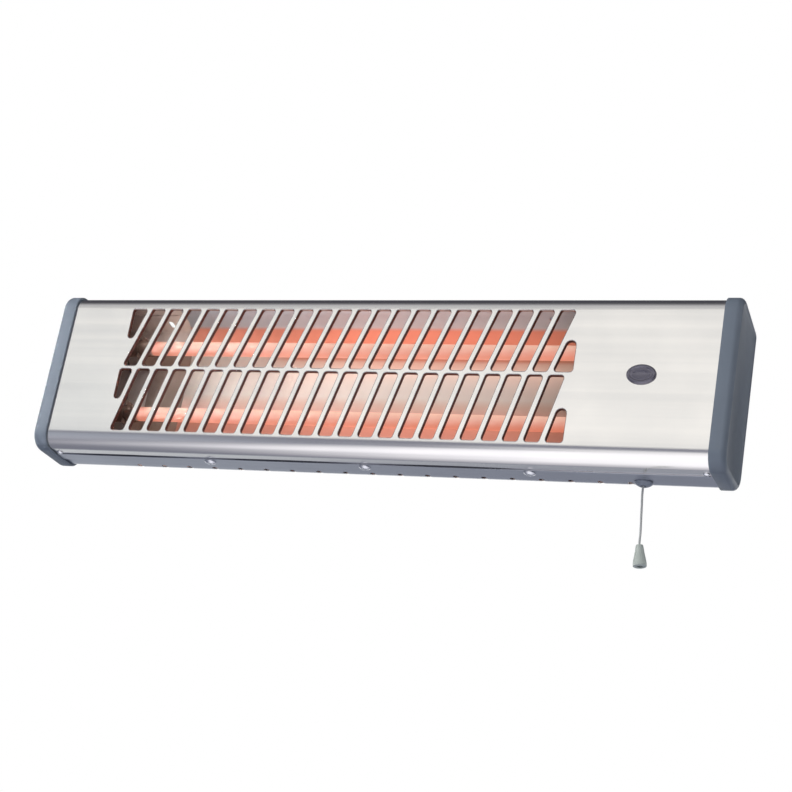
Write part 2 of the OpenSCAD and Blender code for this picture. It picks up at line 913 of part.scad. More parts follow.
drum_x = cord_x - drum_radius;
switch_floor = -body_below + sheet + 4.6;
drum_z = switch_floor + switch_height / 2;
switch_left = drum_x - switch_width / 2 + 2;
axle_diameter = 4;
guide_shank = 9.6;
guide_bore = cord_diameter + 1.2;
switch_rivet_z = switch_floor + switch_height + 6;
switch_back = cord_depth + switch_depth / 2;

// room in the switch for the drum, for its spring and for its axle
module switch_cavity() {
    front = cord_depth - drum_width / 2 - 0.7;
    back = cord_depth + drum_width / 2 + 0.7;
    spring_room = 3.6;
    rod_in_depth(drum_x, drum_z, front, back, 2 * drum_radius + 2.4);
    rod_in_depth(drum_x, drum_z, back - eps, back + spring_room, 12.4);
    rod_in_depth(drum_x, drum_z, cord_depth - switch_depth, cord_depth + switch_depth,
        axle_diameter + 2 * slip);
}

module pull_switch_body() {
    color("#e6e3dc")
        in_body()
            difference() {
                union() {
                    translate([switch_left, cord_depth - switch_depth / 2, switch_floor])
                        cube([switch_width, switch_depth, switch_height]);
                    // raised collar round the cord
                    translate([cord_x, cord_depth, switch_floor - 0.6])
                        cylinder(d = guide_bore + 3, h = 2);
                }
                switch_cavity();
                translate([cord_x, cord_depth, switch_floor - 2])
                    cylinder(d = guide_bore, h = drum_z - switch_floor + 3);
                // holes for the three wires in the top
                for (k = [0 : 2])
                    translate([switch_left + 4.5 + 5.5 * k, cord_depth - 3, switch_floor + switch_height - 3])
                        cylinder(d = wire_diameter + 2 * fit, h = 4);
            }
}

module switch_drum() {
    color("#3c4046")
        in_body() {
            rod_in_depth(drum_x, drum_z, cord_depth - drum_width / 2, cord_depth + drum_width / 2,
                2 * drum_radius - cord_diameter - 2 * fit);
            for (rim = [cord_depth - drum_width / 2, cord_depth + drum_width / 2])
                rod_in_depth(drum_x, drum_z, rim - 0.4, rim + 0.4, 2 * drum_radius + 1.6);
            rod_in_depth(drum_x, drum_z, cord_depth - switch_depth / 2 + 1,
                cord_depth + switch_depth / 2 - 0.3, axle_diameter);
        }
}

module return_spring() {
    wire = 0.7;
    turns = 3;
    start = cord_depth + drum_width / 2 + 0.9 + wire / 2;
    color("#9aa0a6")
        in_body()
            translate([drum_x, start, drum_z])
                swept([for (k = [0 : 10 * turns])
                    [4.3 * cos(k * 36), 0.085 * k, 4.3 * sin(k * 36)]], wire, 5, [0.01, 1, 0.02]);
}

module switch_bracket() {
    plate = holder_steel;
    plate_front = switch_back + fit / 2;
    top = switch_floor + switch_height;
    color("#a7abb0")
        in_body()
            difference() {
                union() {
                    translate([switch_left + 2, plate_front, switch_floor + 2])
                        cube([switch_width - 4, plate, switch_height - 2]);
                    translate([switch_left + 2, plate_front, top - plate])
                        cube([switch_width - 4, back_inside - fit / 2 - plate_front, plate]);
                    translate([switch_left + 2, back_inside - fit / 2 - plate, top - plate])
                        cube([switch_width - 4, plate, 12]);
                }
                panel_hole(cord_x, switch_rivet_z, rivet_shank + 2 * slip);
                rod_in_depth(drum_x, drum_z, switch_back - 4, switch_back + 4, axle_diameter + 1);
            }
}

module cord_guide() {
    color("#9ea7ad")
        in_body()
            on_bottom(cord_x, cord_depth)
                difference() {
                    union() {
                        translate([0, 0, fit / 2])
                            cylinder(d = guide_diameter, h = 1.2);
                        translate([0, 0, 1.2])
                            intersection() {
                                translate([0, 0, -8])
                                    sphere(r = 10.7);
                                cylinder(d = guide_diameter, h = guide_height - 1.2);
                            }
                        translate([0, 0, -sheet - 3.6])
                            cylinder(d = guide_shank, h = sheet + 4);
                        // snap collar inside the panel
                        translate([0, 0, -sheet - 3 * fit - 1.5])
                            cylinder(d = guide_shank + 2.6, h = 1.5);
                    }
                    translate([0, 0, -sheet - 5])
                        cylinder(d = guide_bore, h = 20);
                    translate([0, 0, guide_height - 1.2])
                        cylinder(d1 = guide_bore, d2 = guide_bore + 2.6, h = 1.3);
                }
}

// ---------------------------------------------------------------- pull cord

guide_mouth = -body_below - guide_height;
cord_start = guide_mouth + 1;

module inner_cord() {
    color("#b9bfc2")
        in_body()
            translate([cord_x, cord_depth, cord_start])
                cylinder(d = cord_diameter, h = drum_z - cord_start);
}

// places on the cord, from the guide down to the knob, across and back from its
// start: it keeps a slight curl from the packing
cord_route = [
    [0, 0, 0], [0.15, 0, -8], [0.8, 0.1, -16], [1.35, 0.2, -24],
    [1.95, 0.3, -32], [2.4, 0.4, -39], [2.5, 0.5, -45],
    [2.5 + 4 * tan(knob_lean), 0.5, -49],
];
cord_end = cord_route[len(cord_route) - 1];
cord_in_knob = 2;       // length of cord in the bore of the knob, above the knot's tail

// on the end of the cord, with local Z along the leaning knob
module on_cord_end() {
    in_body()
        translate([cord_x, cord_depth, cord_start] + cord_end)
            rotate([0, -knob_lean, 0])
                children();
}

module pull_cord() {
    color("#b9bfc2")
        in_body()
            translate([cord_x, cord_depth, cord_start])
                swept(spline(cord_route, 2), cord_diameter, 8, [0, 1, 0]);
}

// knot that the knob hangs on, inside the hollow
module cord_knot() {
    color("#b9bfc2")
        on_cord_end() {
            translate([0, 0, -8.9])
                cylinder(d = cord_diameter, h = 8.9);
            translate([0, 0, -10])
                sphere(d = cord_diameter * 2.2);
        }
}

module pull_knob() {
    foot = -knob_height;
    color("#b3bdb9")
        on_cord_end()
            translate([0, 0, cord_in_knob])
                rotate_extrude()
                    difference() {
                        polygon([
                            [cord_diameter / 2 + fit, 0],
                            [knob_top / 2 - 0.5, 0],
                            [knob_top / 2, -0.6],
                            [knob_top * 0.29 + knob_foot * 0.21, -knob_height * 0.4],
                            [knob_foot / 2 - 0.25, -knob_height * 0.75],
                            [knob_foot / 2, -knob_height * 0.87],
                            [knob_foot / 2, foot + 0.6],
                            [knob_foot / 2 - 0.6, foot],
                            [cord_diameter / 2 + fit, foot],
                        ]);
                        // hollow for the knot, open below
                        translate([0, foot - 1])
                            square([knob_top / 2 - 0.4, knob_height - 8.5]);
                    }
}

// ---------------------------------------------------------------- wiring

terminal_z = 30;
terminal_size = [27, 14, 18];
terminal_front = back_inside - fit / 2 - terminal_size[1];
pole_pitch = 8.5;
clamp_z = 2;
clamp_screw_x = 9.5;
clamp_shank = 3;
grommet_z = -18;
grommet_neck = 12;
earth_x = terminal_x + 8;
earth_z = -44;
earth_shank = 4;

module terminal_block() {
    color("#e9e7df")
        in_body()
            difference() {
                union() {
                    translate([
                        terminal_x - terminal_size[0] / 2,
                        terminal_front + 3,
                        terminal_z - terminal_size[2] / 2,
                    ])
                        cube([terminal_size[0], terminal_size[1] - 3, terminal_size[2]]);
                    for (k = [-1 : 1])
                        translate([terminal_x + k * pole_pitch - 3.2, terminal_front, terminal_z - 7])
                            cube([6.4, 4, 14]);
                }
                for (k = [-1 : 1]) {
                    translate([terminal_x + k * pole_pitch, terminal_front + 7, terminal_z - 15])
                        cylinder(d = wire_diameter + 1.2, h = 30);
                    for (s = [-1, 1])
                        rod_in_depth(terminal_x + k * pole_pitch, terminal_z + s * 4, terminal_front - 1,
                            terminal_front + 6, 3.4 + 2 * slip);
                }
                rod_in_depth(terminal_x, terminal_z, terminal_front + 10, body_depth + 3,
                    rivet_shank + 2 * slip);
            }
}

module terminal_screws() {
    color("#c9b271")
        in_body()
            for (k = [-1 : 1], s = [-1, 1])
                difference() {
                    rod_in_depth(terminal_x + k * pole_pitch, terminal_z + s * 4, terminal_front + 0.8,
                        terminal_front + 5.2, 3.4);
                    translate([terminal_x + k * pole_pitch - 2, terminal_front - 1, terminal_z + s * 4 - 0.3])
                        cube([4, 2.8, 0.6]);
                }
}

module cable_clamp() {
    height = 11;
    color("#2f3236")
        in_body()
            translate([terminal_x, back_inside - fit / 2 - height, clamp_z])
                difference() {
                    translate([-13, 0, -4])
                        cube([26, height, 8]);
                    translate([0, height - cable_bore / 2 + 0.4, -5])
                        cylinder(d = cable_bore, h = 10);
                    translate([-cable_bore / 2, height - cable_bore / 2 + 0.4, -5])
                        cube([cable_bore, cable_bore, 10]);
                    for (s = [-1, 1])
                        translate([s * clamp_screw_x, -1, 0])
                            rotate([-90, 0, 0])
                                cylinder(r = clamp_shank / 2 + slip, h = height + 2);
                }
}

module clamp_screws() {
    color("#cfd2d6")
        in_body()
            for (s = [-1, 1])
                translate([terminal_x + s * clamp_screw_x, back_inside - fit / 2 - 11, clamp_z])
                    rotate([-90, 0, 0])
                        difference() {
                            union() {
                                translate([0, 0, -1])
                                    cylinder(d = clamp_shank, h = 14.4);
                                translate([0, 0, -2 - fit / 2])
                                    cylinder(d = 5.8, h = 2);
                            }
                            translate([-2, -0.4, -3])
                                cube([4, 0.8, 1.8]);
                        }
}

module cable_grommet() {
    color("#26282b")
        in_body()
            translate([terminal_x, back_inside, grommet_z])
                rotate([-90, 0, 0])
                    difference() {
                        union() {
                            translate([0, 0, sheet + fit / 2])
                                cylinder(d = 17, h = 2.2);
                            translate([0, 0, -2])
                                cylinder(d = grommet_neck - 2 * slip, h = sheet + 4);
                            translate([0, 0, -fit / 2 - 2])
                                cylinder(d = 15, h = 2);
                        }
                        translate([0, 0, -5])
                            cylinder(d = cable_bore, h = 10);
                    }
}

module earth_screw() {
    color("#c9b271")
        in_body()
            translate([earth_x, body_depth + fit / 2, earth_z])
                rotate([90, 0, 0]) {
                    translate([0, 0, -2.2])
                        cylinder(d1 = 6, d2 = 7.6, h = 2.2);
                    cylinder(d = earth_shank, h = 11);
                    translate([0, 0, sheet + fit])
                        cylinder(d = 9, h = 0.9);
                    translate([0, 0, sheet + fit + 0.9])
                        hex_prism(7, 3);
                }
}

// thin wire through the places p
module wire(p, steps = 4) {
    swept(spline(p, steps), wire_diameter, 8, [0.13, 0.31, 0.94]);
}

left_stud_x = tube_left - ceramic_length - stud_out;
right_stud_x = tube_right + ceramic_length + stud_out;
stud_gap = stud_diameter / 2 + wire_diameter / 2 + fit;

// bare wire that joins the two tubes on the left
module jumper_wire() {
    thick = wire_diameter * 0.45;
    gap = stud_diameter / 2 + thick / 2 + fit;
    x = left_stud_x + 1.4;
    z = tube_spacing / 2;
    color("#4b3f3c")
        in_body()
            swept(spline([
                [x, tube_depth + gap, z + 2],
                [x, tube_depth + gap + 1.6, z - 6],
                [x, tube_depth + 17, z - 18],
                [x, tube_depth + 18, 0],
                [x, tube_depth + 17, -z + 18],
                [x, tube_depth + gap + 1.6, -z + 6],
                [x, tube_depth + gap, -z - 2],
            ], 3), thick, 8, [1, 0, 0]);
}

// runs back along the body, behind the reflector
module neutral_wire() {
    run = (reflector_back + holder_front) / 2;
    x = left_stud_x + 1.4;
    z = -tube_spacing / 2;
    low = -holder_half_height - 5;
    color("#3f6fa8")
        in_body()
            wire([
                [x, tube_depth - stud_gap, z + 2],
                [x, tube_depth - stud_gap - 0.4, z - 4],
                [x + 0.5, tube_depth + 2, z - 13],
                [x + 4, tube_depth + 14, low + 1],
                [x + 12, run - 0.6, low],
                [x + 24, run + 0.4, low],
                [reflector_left, run + 0.4, low],
                [tube_middle, run + 0.4, low],
                [reflector_right - 44, run + 0.4, low],
                [reflector_right - 32, run + 0.4, low],
                [reflector_right - 19, run + 0.2, low + 8],
                [reflector_right - 15, run, low + 24],
                [reflector_right - 13, run, low + 38],
                [reflector_right - 4, run, -2],
                [reflector_right + 8, run, 0],
                [right_stud_x - 3, run, 4],
                [right_stud_x + 6, run - 4, 12],
                [terminal_x - 11, terminal_front + 8.5, 9.6],
                [terminal_x - 2, terminal_front + 7.6, 13],
                [terminal_x, terminal_front + 7, terminal_z - 9],
                [terminal_x, terminal_front + 7, terminal_z - 4],
            ], 3);
}

module live_wires() {
    top = switch_floor + switch_height;
    color("#6b4a33")
        in_body() {
            wire([
                [terminal_x - pole_pitch, terminal_front + 7, terminal_z - 4],
                [terminal_x - pole_pitch, terminal_front + 7, terminal_z - 9],
                [terminal_x - pole_pitch - 2, terminal_front + 4, 12],
                [terminal_x - pole_pitch - 12, cord_depth - 5, -4],
                [switch_left + 16.5, cord_depth - 3.4, top + 14],
                [switch_left + 15.5, cord_depth - 3, top + 4],
                [switch_left + 15.5, cord_depth - 3, top - 2.5],
            ]);
            wire([
                [right_stud_x - 1.4, tube_depth - stud_gap, tube_spacing / 2 - 3],
                [right_stud_x - 0.6, tube_depth - stud_gap, tube_spacing / 2 - 12],
                [right_stud_x + 2, tube_depth + 4, 0],
                [switch_left + 11.5, cord_depth - 4, top + 16],
                [switch_left + 10, cord_depth - 3, top + 5],
                [switch_left + 10, cord_depth - 3, top - 2.5],
            ]);
            wire([
                [right_stud_x - 1.4, tube_depth + stud_gap, -tube_spacing / 2 + 2.5],
                [right_stud_x - 1.2, tube_depth + stud_gap + 1.5, -tube_spacing / 2 - 1],
                [switch_left + 4.5, cord_depth - 3, top + 1.6],
                [switch_left + 4.5, cord_depth - 3, top - 0.6],
                [switch_left + 4.5, cord_depth - 3, top - 2.5],
            ]);
        }
}

module earth_wire() {
    x = terminal_x + pole_pitch;
    color("#8faa3f")
        in_body()
            wire([
                [x, terminal_front + 7, terminal_z - 4],
                [x, terminal_front + 7, terminal_z - 9],
                [x + 4, terminal_front + 5, 12],
                [x + 10, terminal_front + 4, -4],
                [x + 9, terminal_front + 6, -24],
                [earth_x + 5, back_inside - 6, earth_z + 7],
                [earth_x + earth_shank / 2 + wire_diameter / 2 + fit, back_inside - 5.4, earth_z],
                [earth_x + earth_shank / 2 + wire_diameter / 2 + fit, back_inside - 5.4, earth_z - 4],
            ]);
}

// ---------------------------------------------------------------- brackets

washer = 1;
washer_gap = 0.15;
washer_size = 18;
arm_round = 12;
lug_width = 24;
lug_height = 50;
bolt_length = 16;
// distance from the middle of the wall bracket's arm to the middle of the lug's ear
lug_offset = bracket_steel + washer + 2 * washer_gap;

// round-ended arm in the plane across the heater, reaching from depth y0 to the pivot
module pivot_arm(y0, steel, bore) {
    along_x(-steel / 2, steel / 2)
        difference() {
            union() {
                translate([-pivot_out, 0])
                    circle(arm_round);
                translate([min(y0, -pivot_out), -arm_round])
                    square([abs(y0 + pivot_out), 2 * arm_round]);
            }
            translate([-pivot_out, 0])
                circle(bore / 2);
        }
}

module bracket_plate(side) {
    middle = side * (bracket_width - bracket_steel) / 2;
    difference() {
        translate([middle - bracket_width / 2, -bracket_steel, -bracket_height / 2])
            cube([bracket_width, bracket_steel, bracket_height]);
        for (s = [-1, 1])
            translate([middle, -bracket_steel - 1, s * hole_spacing / 2])
                rotate([-90, 0, 0])
                    cylinder(d = wall_hole, h = bracket_steel + 2);
    }
}

// steel angle on the wall; the fixing holes are on the spacing between brackets
module wall_bracket(side) {
    translate([side * (bracket_spacing / 2 - bracket_width / 2 + bracket_steel / 2), 0, 0]) {
        bracket_plate(side);
        pivot_arm(-bracket_steel / 2, bracket_steel, bolt_diameter + 2 * slip);
    }
}

module left_wall_bracket() {
    color("#9fa4aa")
        wall_bracket(-1);
}

module right_wall_bracket() {
    color("#9fa4aa")
        wall_bracket(1);
}

// middle of the wall bracket's arm and of the lug's ear
function arm_x(side) = side * (bracket_spacing / 2 - bracket_width / 2 + bracket_steel / 2);
function ear_x(side) = arm_x(side) - side * lug_offset;

module tilt_lug(side) {
    lug_back = -(wall_gap - fit / 2);
    difference() {
        union() {
            translate([ear_x(side), 0, 0])
                pivot_arm(lug_back + bracket_steel / 2, bracket_steel, bolt_diameter + 2 * slip);
            translate([
                side > 0 ? ear_x(side) + bracket_steel / 2 - lug_width : ear_x(side) - bracket_steel / 2,
                lug_back,
                -lug_height / 2,
            ])
                cube([lug_width, bracket_steel, lug_height]);
        }
        in_body()
            for (s = [-1, 1])
                panel_hole(lug_rivet_x(side), s * lug_rivet_rise, rivet_shank + 2 * slip);
    }
}

module left_tilt_lug() {
    color("#9fa4aa")
        tilt_lug(-1);
}

module right_tilt_lug() {
    color("#9fa4aa")
        tilt_lug(1);
}

module lug_rivets() {
    color("#b8bcc0")
        in_body()
            for (side = [-1, 1], s = [-1, 1])
                rivet(lug_rivet_x(side), s * lug_rivet_rise, body_depth + bracket_steel + fit,
                    sheet + bracket_steel + fit + fit / 2);
}

// along the pivot, with local Z pointing from the arm to the lug
module on_pivot(side) {
    translate([arm_x(side), -pivot_out, 0])
        rotate([0, -side * 90, 0])
            children();
}

module pivot_bolts() {
    color("#c4c8cc")
        for (side = [-1, 1])
            on_pivot(side) {
                translate([0, 0, -bracket_steel / 2 - fit / 2 - 4])
                    hex_prism(10, 4);
                translate([0, 0, -bracket_steel / 2 - fit / 2 - eps])
                    cylinder(d = bolt_diameter, h = bolt_length);
            }
}

module friction_washers() {
    color("#55504a")
        for (side = [-1, 1])
            on_pivot(side)
                for (z = [bracket_steel / 2 + fit / 2, lug_offset + bracket_steel / 2 + washer_gap])
                    translate([0, 0, z])
                        difference() {
                            cylinder(d = washer_size, h = washer);
                            translate([0, 0, -1])
                                cylinder(r = bolt_diameter / 2 + slip, h = washer + 2);
                        }
}

module wing_nuts() {
    color("#c4c8cc")
        for (side = [-1, 1])
            on_pivot(side)
                translate([0, 0, lug_offset + bracket_steel / 2 + washer + washer_gap + fit])
                    difference() {
                        union() {
                            cylinder(d1 = 12, d2 = 9, h = 6);
                            for (s = [-1, 1])
                                rotate([90, 0, 0])
                                    linear_extrude(2.2, center = true)
                                        soft_outline(
                                            s > 0
                                                ? [[3.6, 0.6], [11, 4.5], [12, 11], [4, 5.6]]
                                                : [[-3.6, 0.6], [-4, 5.6], [-12, 11], [-11, 4.5]],
                                            s > 0 ? [0.3, 1.5, 1.8, 0.3] : [0.3, 0.3, 1.8, 1.5]
                                        );
                        }
                        translate([0, 0, -1])
                            cylinder(r = bolt_diameter / 2 + slip, h = 20);
                    }
}

// ---------------------------------------------------------------- the part

front_cover();
rear_housing();
left_end_cap();
right_end_cap();
badge();
bottom_cover_screws();
top_cover_screws();
cap_screws();
reflector();
left_tube_holder();
right_tube_holder();
panel_rivets();
upper_quartz_tube();
lower_quartz_tube();
upper_heating_coil();
lower_heating_coil();
upper_left_ceramic();
lower_left_ceramic();
upper_right_ceramic();
lower_right_ceramic();
tube_terminals();
jumper_wire();
neutral_wire();
live_wires();
earth_wire();
pull_switch_body();
switch_bracket();
switch_drum();
return_spring();
cord_guide();
inner_cord();
pull_cord();
cord_knot();
pull_knob();
terminal_block();
terminal_screws();
cable_clamp();
clamp_screws();
cable_grommet();
earth_screw();
left_tilt_lug();
right_tilt_lug();
lug_rivets();
left_wall_bracket();
right_wall_bracket();
pivot_bolts();
friction_washers();
wing_nuts();
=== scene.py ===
"""Visual model of a wall-hung electric bar heater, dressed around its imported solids.

Sizes in the classes are millimetres in the face frame: x runs along the heater, depth
is counted back from the flat front face and height from the bar between the two rows
of slots. They become metres in the row frame when a mesh is made. The studio's sizes
and places are metres in the row frame.
"""

from __future__ import annotations

import json
import logging
from contextlib import contextmanager
from dataclasses import dataclass, field
from enum import Enum
from typing import Iterator, Sequence

import bmesh
import bpy
import numpy as np
from bpy.types import ID, Material, Mesh, Node, NodeOutputs, NodeSocket, NodeTree, Object, World
from mathutils import Matrix


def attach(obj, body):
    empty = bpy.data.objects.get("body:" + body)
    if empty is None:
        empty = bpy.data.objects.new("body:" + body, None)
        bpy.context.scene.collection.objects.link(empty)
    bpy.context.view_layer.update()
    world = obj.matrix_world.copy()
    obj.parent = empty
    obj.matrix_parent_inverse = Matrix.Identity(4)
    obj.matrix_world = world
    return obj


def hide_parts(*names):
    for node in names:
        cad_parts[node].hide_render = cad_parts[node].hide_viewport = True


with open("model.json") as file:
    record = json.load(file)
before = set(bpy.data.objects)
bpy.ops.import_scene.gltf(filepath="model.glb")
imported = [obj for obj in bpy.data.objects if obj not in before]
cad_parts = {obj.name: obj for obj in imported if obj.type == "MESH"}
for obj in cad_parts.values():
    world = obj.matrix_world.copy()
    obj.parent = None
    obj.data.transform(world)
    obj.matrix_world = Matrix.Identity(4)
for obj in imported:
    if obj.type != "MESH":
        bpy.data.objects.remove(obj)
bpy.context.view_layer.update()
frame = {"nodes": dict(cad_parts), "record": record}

LOG = logging.getLogger("heater")
MM = 0.001
MICROMETRES = 1e6
"""In a metre."""
FACE_DEPTH = 97.0
"""Distance from the wall to the flat front face."""

Array = np.ndarray
Pair = tuple[float, float]
Triple = tuple[float, float, float]
Four = tuple[float, float, float, float]


class Body(Enum):
    """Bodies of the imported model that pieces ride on."""

    HEATER = "heater"
    PULL = "pull"
    DRUM = "drum"
    WALL = "wall_brackets"


# ----------------------------------- shape helpers


def to_row(points: Array) -> Array:
    """Turns face-frame millimetres into row-frame metres: (x, depth - 97, height) / 1000."""
    return (points - np.array([0.0, FACE_DEPTH, 0.0])) * MM


def round_angles(steps: int) -> Array:
    """Gives evenly spaced angles once round a circle, in radians."""
    return np.arange(steps) * 2 * np.pi / steps


def unit(vectors: Array) -> Array:
    """Scales the vectors on the last axis to length 1."""
    return vectors / np.linalg.norm(vectors, axis=-1, keepdims=True)


def grid_quads(rows: int, cols: int, wrap: bool = True, start: int = 0) -> Array:
    """Lists the quads of a grid of points that is stored row by row.

    Quad (i, j) joins points (i, j), (i, j+1), (i+1, j+1) and (i+1, j).

    Args:
        rows: Number of rows.
        cols: Points in a row.
        wrap: Whether the last column joins the first.
        start: Index of the grid's first point.

    Returns:
        Integer array (n, 4).
    """
    i, j = np.meshgrid(np.arange(rows - 1), np.arange(cols if wrap else cols - 1), indexing="ij")
    k = (j + 1) % cols
    quads = np.stack([i * cols + j, i * cols + k, (i + 1) * cols + k, (i + 1) * cols + j], axis=-1)
    return quads.reshape(-1, 4) + start


def end_faces(rows: int, cols: int) -> Array:
    """Gives the two faces that close the first and the last row of a wrapped grid."""
    return np.stack([np.arange(cols)[::-1], (rows - 1) * cols + np.arange(cols)])


def weld(points: Array, faces: Sequence[Array]) -> tuple[Array, list[Array]]:
    """Merges points that lie within a micrometre of each other.

    Args:
        points: Array (n, 3) in metres.
        faces: Index arrays into it.

    Returns:
        The merged points and the re-numbered faces.
    """
    _, first, place = np.unique(
        np.round(points * MICROMETRES).astype(np.int64), axis=0, return_index=True, return_inverse=True
    )
    return points[first], [place.ravel()[f] for f in faces]


def make_mesh(name: str, points: Array, faces: Sequence[Array], merge: bool = False) -> Mesh:
    """Makes a smooth mesh from whole arrays.

    Args:
        name: Name of the mesh.
        points: Array (n, 3) in row-frame metres.
        faces: Arrays (m, corners), one for each number of corners.
        merge: Whether points in the same place become one.

    Returns:
        The new mesh.
    """
    if merge:
        points, faces = weld(points, faces)
    mesh = bpy.data.meshes.new(name)
    mesh.vertices.add(len(points))
    mesh.vertices.foreach_set("co", np.ascontiguousarray(points, np.float32).ravel())
    corners = np.concatenate([np.full(len(f), f.shape[1]) for f in faces])
    index = np.concatenate([f.ravel() for f in faces]).astype(np.int32)
    mesh.loops.add(len(index))
    mesh.loops.foreach_set("vertex_index", index)
    mesh.polygons.add(len(corners))
    mesh.polygons.foreach_set("loop_start", (np.cumsum(corners) - corners).astype(np.int32))
    mesh.polygons.foreach_set("use_smooth", np.ones(len(corners), bool))
    mesh.update(calc_edges=True)
    mesh.validate()
    return mesh


def corner_points(mesh: Mesh) -> Array:
    """Gives the index of the point at every corner of a mesh's faces."""
    index = np.zeros(len(mesh.loops), np.int32)
    mesh.loops.foreach_get("vertex_index", index)
    return index


def lay_uv(mesh: Mesh, along: Array, around: Array) -> None:
    """Gives a mesh a UV map from a place along and a place around for every corner."""
    layer = mesh.uv_layers.new(name="run")
    layer.data.foreach_set("uv", np.stack([along, around], axis=1).astype(np.float32).ravel())


@contextmanager
def edited(mesh: Mesh) -> Iterator[bmesh.types.BMesh]:
    """Opens a mesh for editing and writes it back afterwards."""
    work = bmesh.new()
    work.from_mesh(mesh)
    yield work
    work.to_mesh(mesh)
    work.free()


def link(name: str, data: ID) -> Object:
    """Makes an object of a mesh, lamp or camera and puts it into the scene."""
    new = bpy.data.objects.new(name, data)
    bpy.context.scene.collection.objects.link(new)
    return new


def solidify(piece: Object, sheet: float, way: float) -> None:
    """Gives an open sheet its thickness in millimetres, on the side that way (-1 or 1) names."""
    solid = piece.modifiers.new("sheet", "SOLIDIFY")
    solid.thickness = sheet * MM
    solid.offset = way


def set_place(thing: Object, place: Triple, axes: Sequence[Sequence[float]]) -> None:
    """Puts an object in its place and turns its x, y and z to three directions."""
    turn = Matrix(np.stack(axes, axis=1).tolist()).to_4x4()
    thing.matrix_world = Matrix.Translation(place) @ turn


def rounded_ring(corners: Array, radii: Array, out: float, steps: int) -> Array:
    """Rounds the corners of convex outlines that run anticlockwise.

    Corner p with its neighbours a and b has its arc's middle at
    p + r / sin(half angle) * unit(unit(a - p) + unit(b - p)), and the arc runs from the
    normal of the side before the corner to the normal of the side after it.

    Args:
        corners: Array (..., n, 2).
        radii: Array (..., n) of bend radii.
        out: Distance by which the outline grows.
        steps: Steps round each bend.

    Returns:
        Array (..., n * (steps + 1), 2).
    """
    ahead = unit(np.roll(corners, -1, axis=-2) - corners)
    back = unit(np.roll(corners, 1, axis=-2) - corners)
    half = np.arccos(np.clip(np.sum(ahead * back, axis=-1), -1, 1)) / 2
    middle = corners + unit(ahead + back) * (radii / np.sin(half))[..., None]
    first = np.arctan2(back[..., 0], -back[..., 1])
    turn = np.pi - 2 * half
    angle = first[..., None] + turn[..., None] * np.linspace(0, 1, steps + 1)
    reach = (radii + out)[..., None, None]
    ring = middle[..., None, :] + reach * np.stack([np.cos(angle), np.sin(angle)], axis=-1)
    return ring.reshape(*corners.shape[:-2], -1, 2)


def strip(run: Array, axis: int, ends: Sequence[float]) -> Array:
    """Carries a run of points in a plane from one place to another on the axis it lacks."""
    return np.stack([np.insert(run, axis, place, axis=1) for place in ends], axis=1)


def lathe(profile: Array, steps: int) -> tuple[Array, list[Array]]:
    """Turns a profile round the height axis: (r, h) becomes (r cos a, r sin a, h).

    Args:
        profile: Array (n, 2) of radius and height.
        steps: Steps round the axis.

    Returns:
        Points (n * steps, 3) and faces.
    """
    a = round_angles(steps)
    r, h = profile[:, :1], profile[:, 1:]
    grid = np.stack([r * np.cos(a), r * np.sin(a), h + 0 * a], axis=-1)
    return grid.reshape(-1, 3), [grid_quads(len(profile), steps)[:, ::-1]]


def smooth_curve(points: Array, steps: int) -> Array:
    """Runs a Catmull-Rom curve through points.

    Between b and c with outer neighbours a and d it is
    b + (c-a)t/2 + (2a-5b+4c-d)t^2/2 + (3b-a-3c+d)t^3/2.

    Args:
        points: Array (n, k).
        steps: Steps between two points.

    Returns:
        Array ((n - 1) * steps + 1, k).
    """
    p = np.concatenate([points[:1], points, points[-1:]])
    a, b, c, d = p[:-3, None], p[1:-2, None], p[2:-1, None], p[3:, None]
    t = (np.arange(steps) / steps)[None, :, None]
    square, cube = 2 * a - 5 * b + 4 * c - d, 3 * b - a - 3 * c + d
    run = b + (c - a) * t / 2 + square * t**2 / 2 + cube * t**3 / 2
    return np.concatenate([run.reshape(-1, points.shape[1]), points[-1:]])


def tube_along(
    path: Array, radius: Array | float, sides: int, side: Sequence[float], closed: bool = False
) -> tuple[Array, list[Array]]:
    """Carries a ring along a path: point + r (cos a u + sin a v), u and v square to the path.

    Args:
        path: Array (n, 3).
        radius: A number, or an array (n, sides).
        sides: Points in a ring.
        side: A direction that the path never takes.
        closed: Whether the path's end joins its start.

    Returns:
        Points and faces, with flat ends on an open path.
    """
    if closed:
        heading = unit(np.roll(path, -1, axis=0) - np.roll(path, 1, axis=0))
    else:
        heading = unit(np.gradient(path, axis=0))
    u = unit(np.cross(heading, np.asarray(side, float)))
    v = np.cross(heading, u)
    a = round_angles(sides)
    ring = np.cos(a)[None, :, None] * u[:, None] + np.sin(a)[None, :, None] * v[:, None]
    reach = np.broadcast_to(np.asarray(radius, float), (len(path), sides))[..., None]
    points = (path[:, None] + reach * ring).reshape(-1, 3)
    if closed:
        return points, [grid_quads(len(path) + 1, sides) % len(points)]
    return points, [grid_quads(len(path), sides), end_faces(len(path), sides)]


# ----------------------------------- shader helpers


def bare_tree(owner: Material | World) -> NodeTree:
    """Gives a material or a world an empty node tree."""
    owner.use_nodes = True
    owner.node_tree.nodes.clear()
    return owner.node_tree


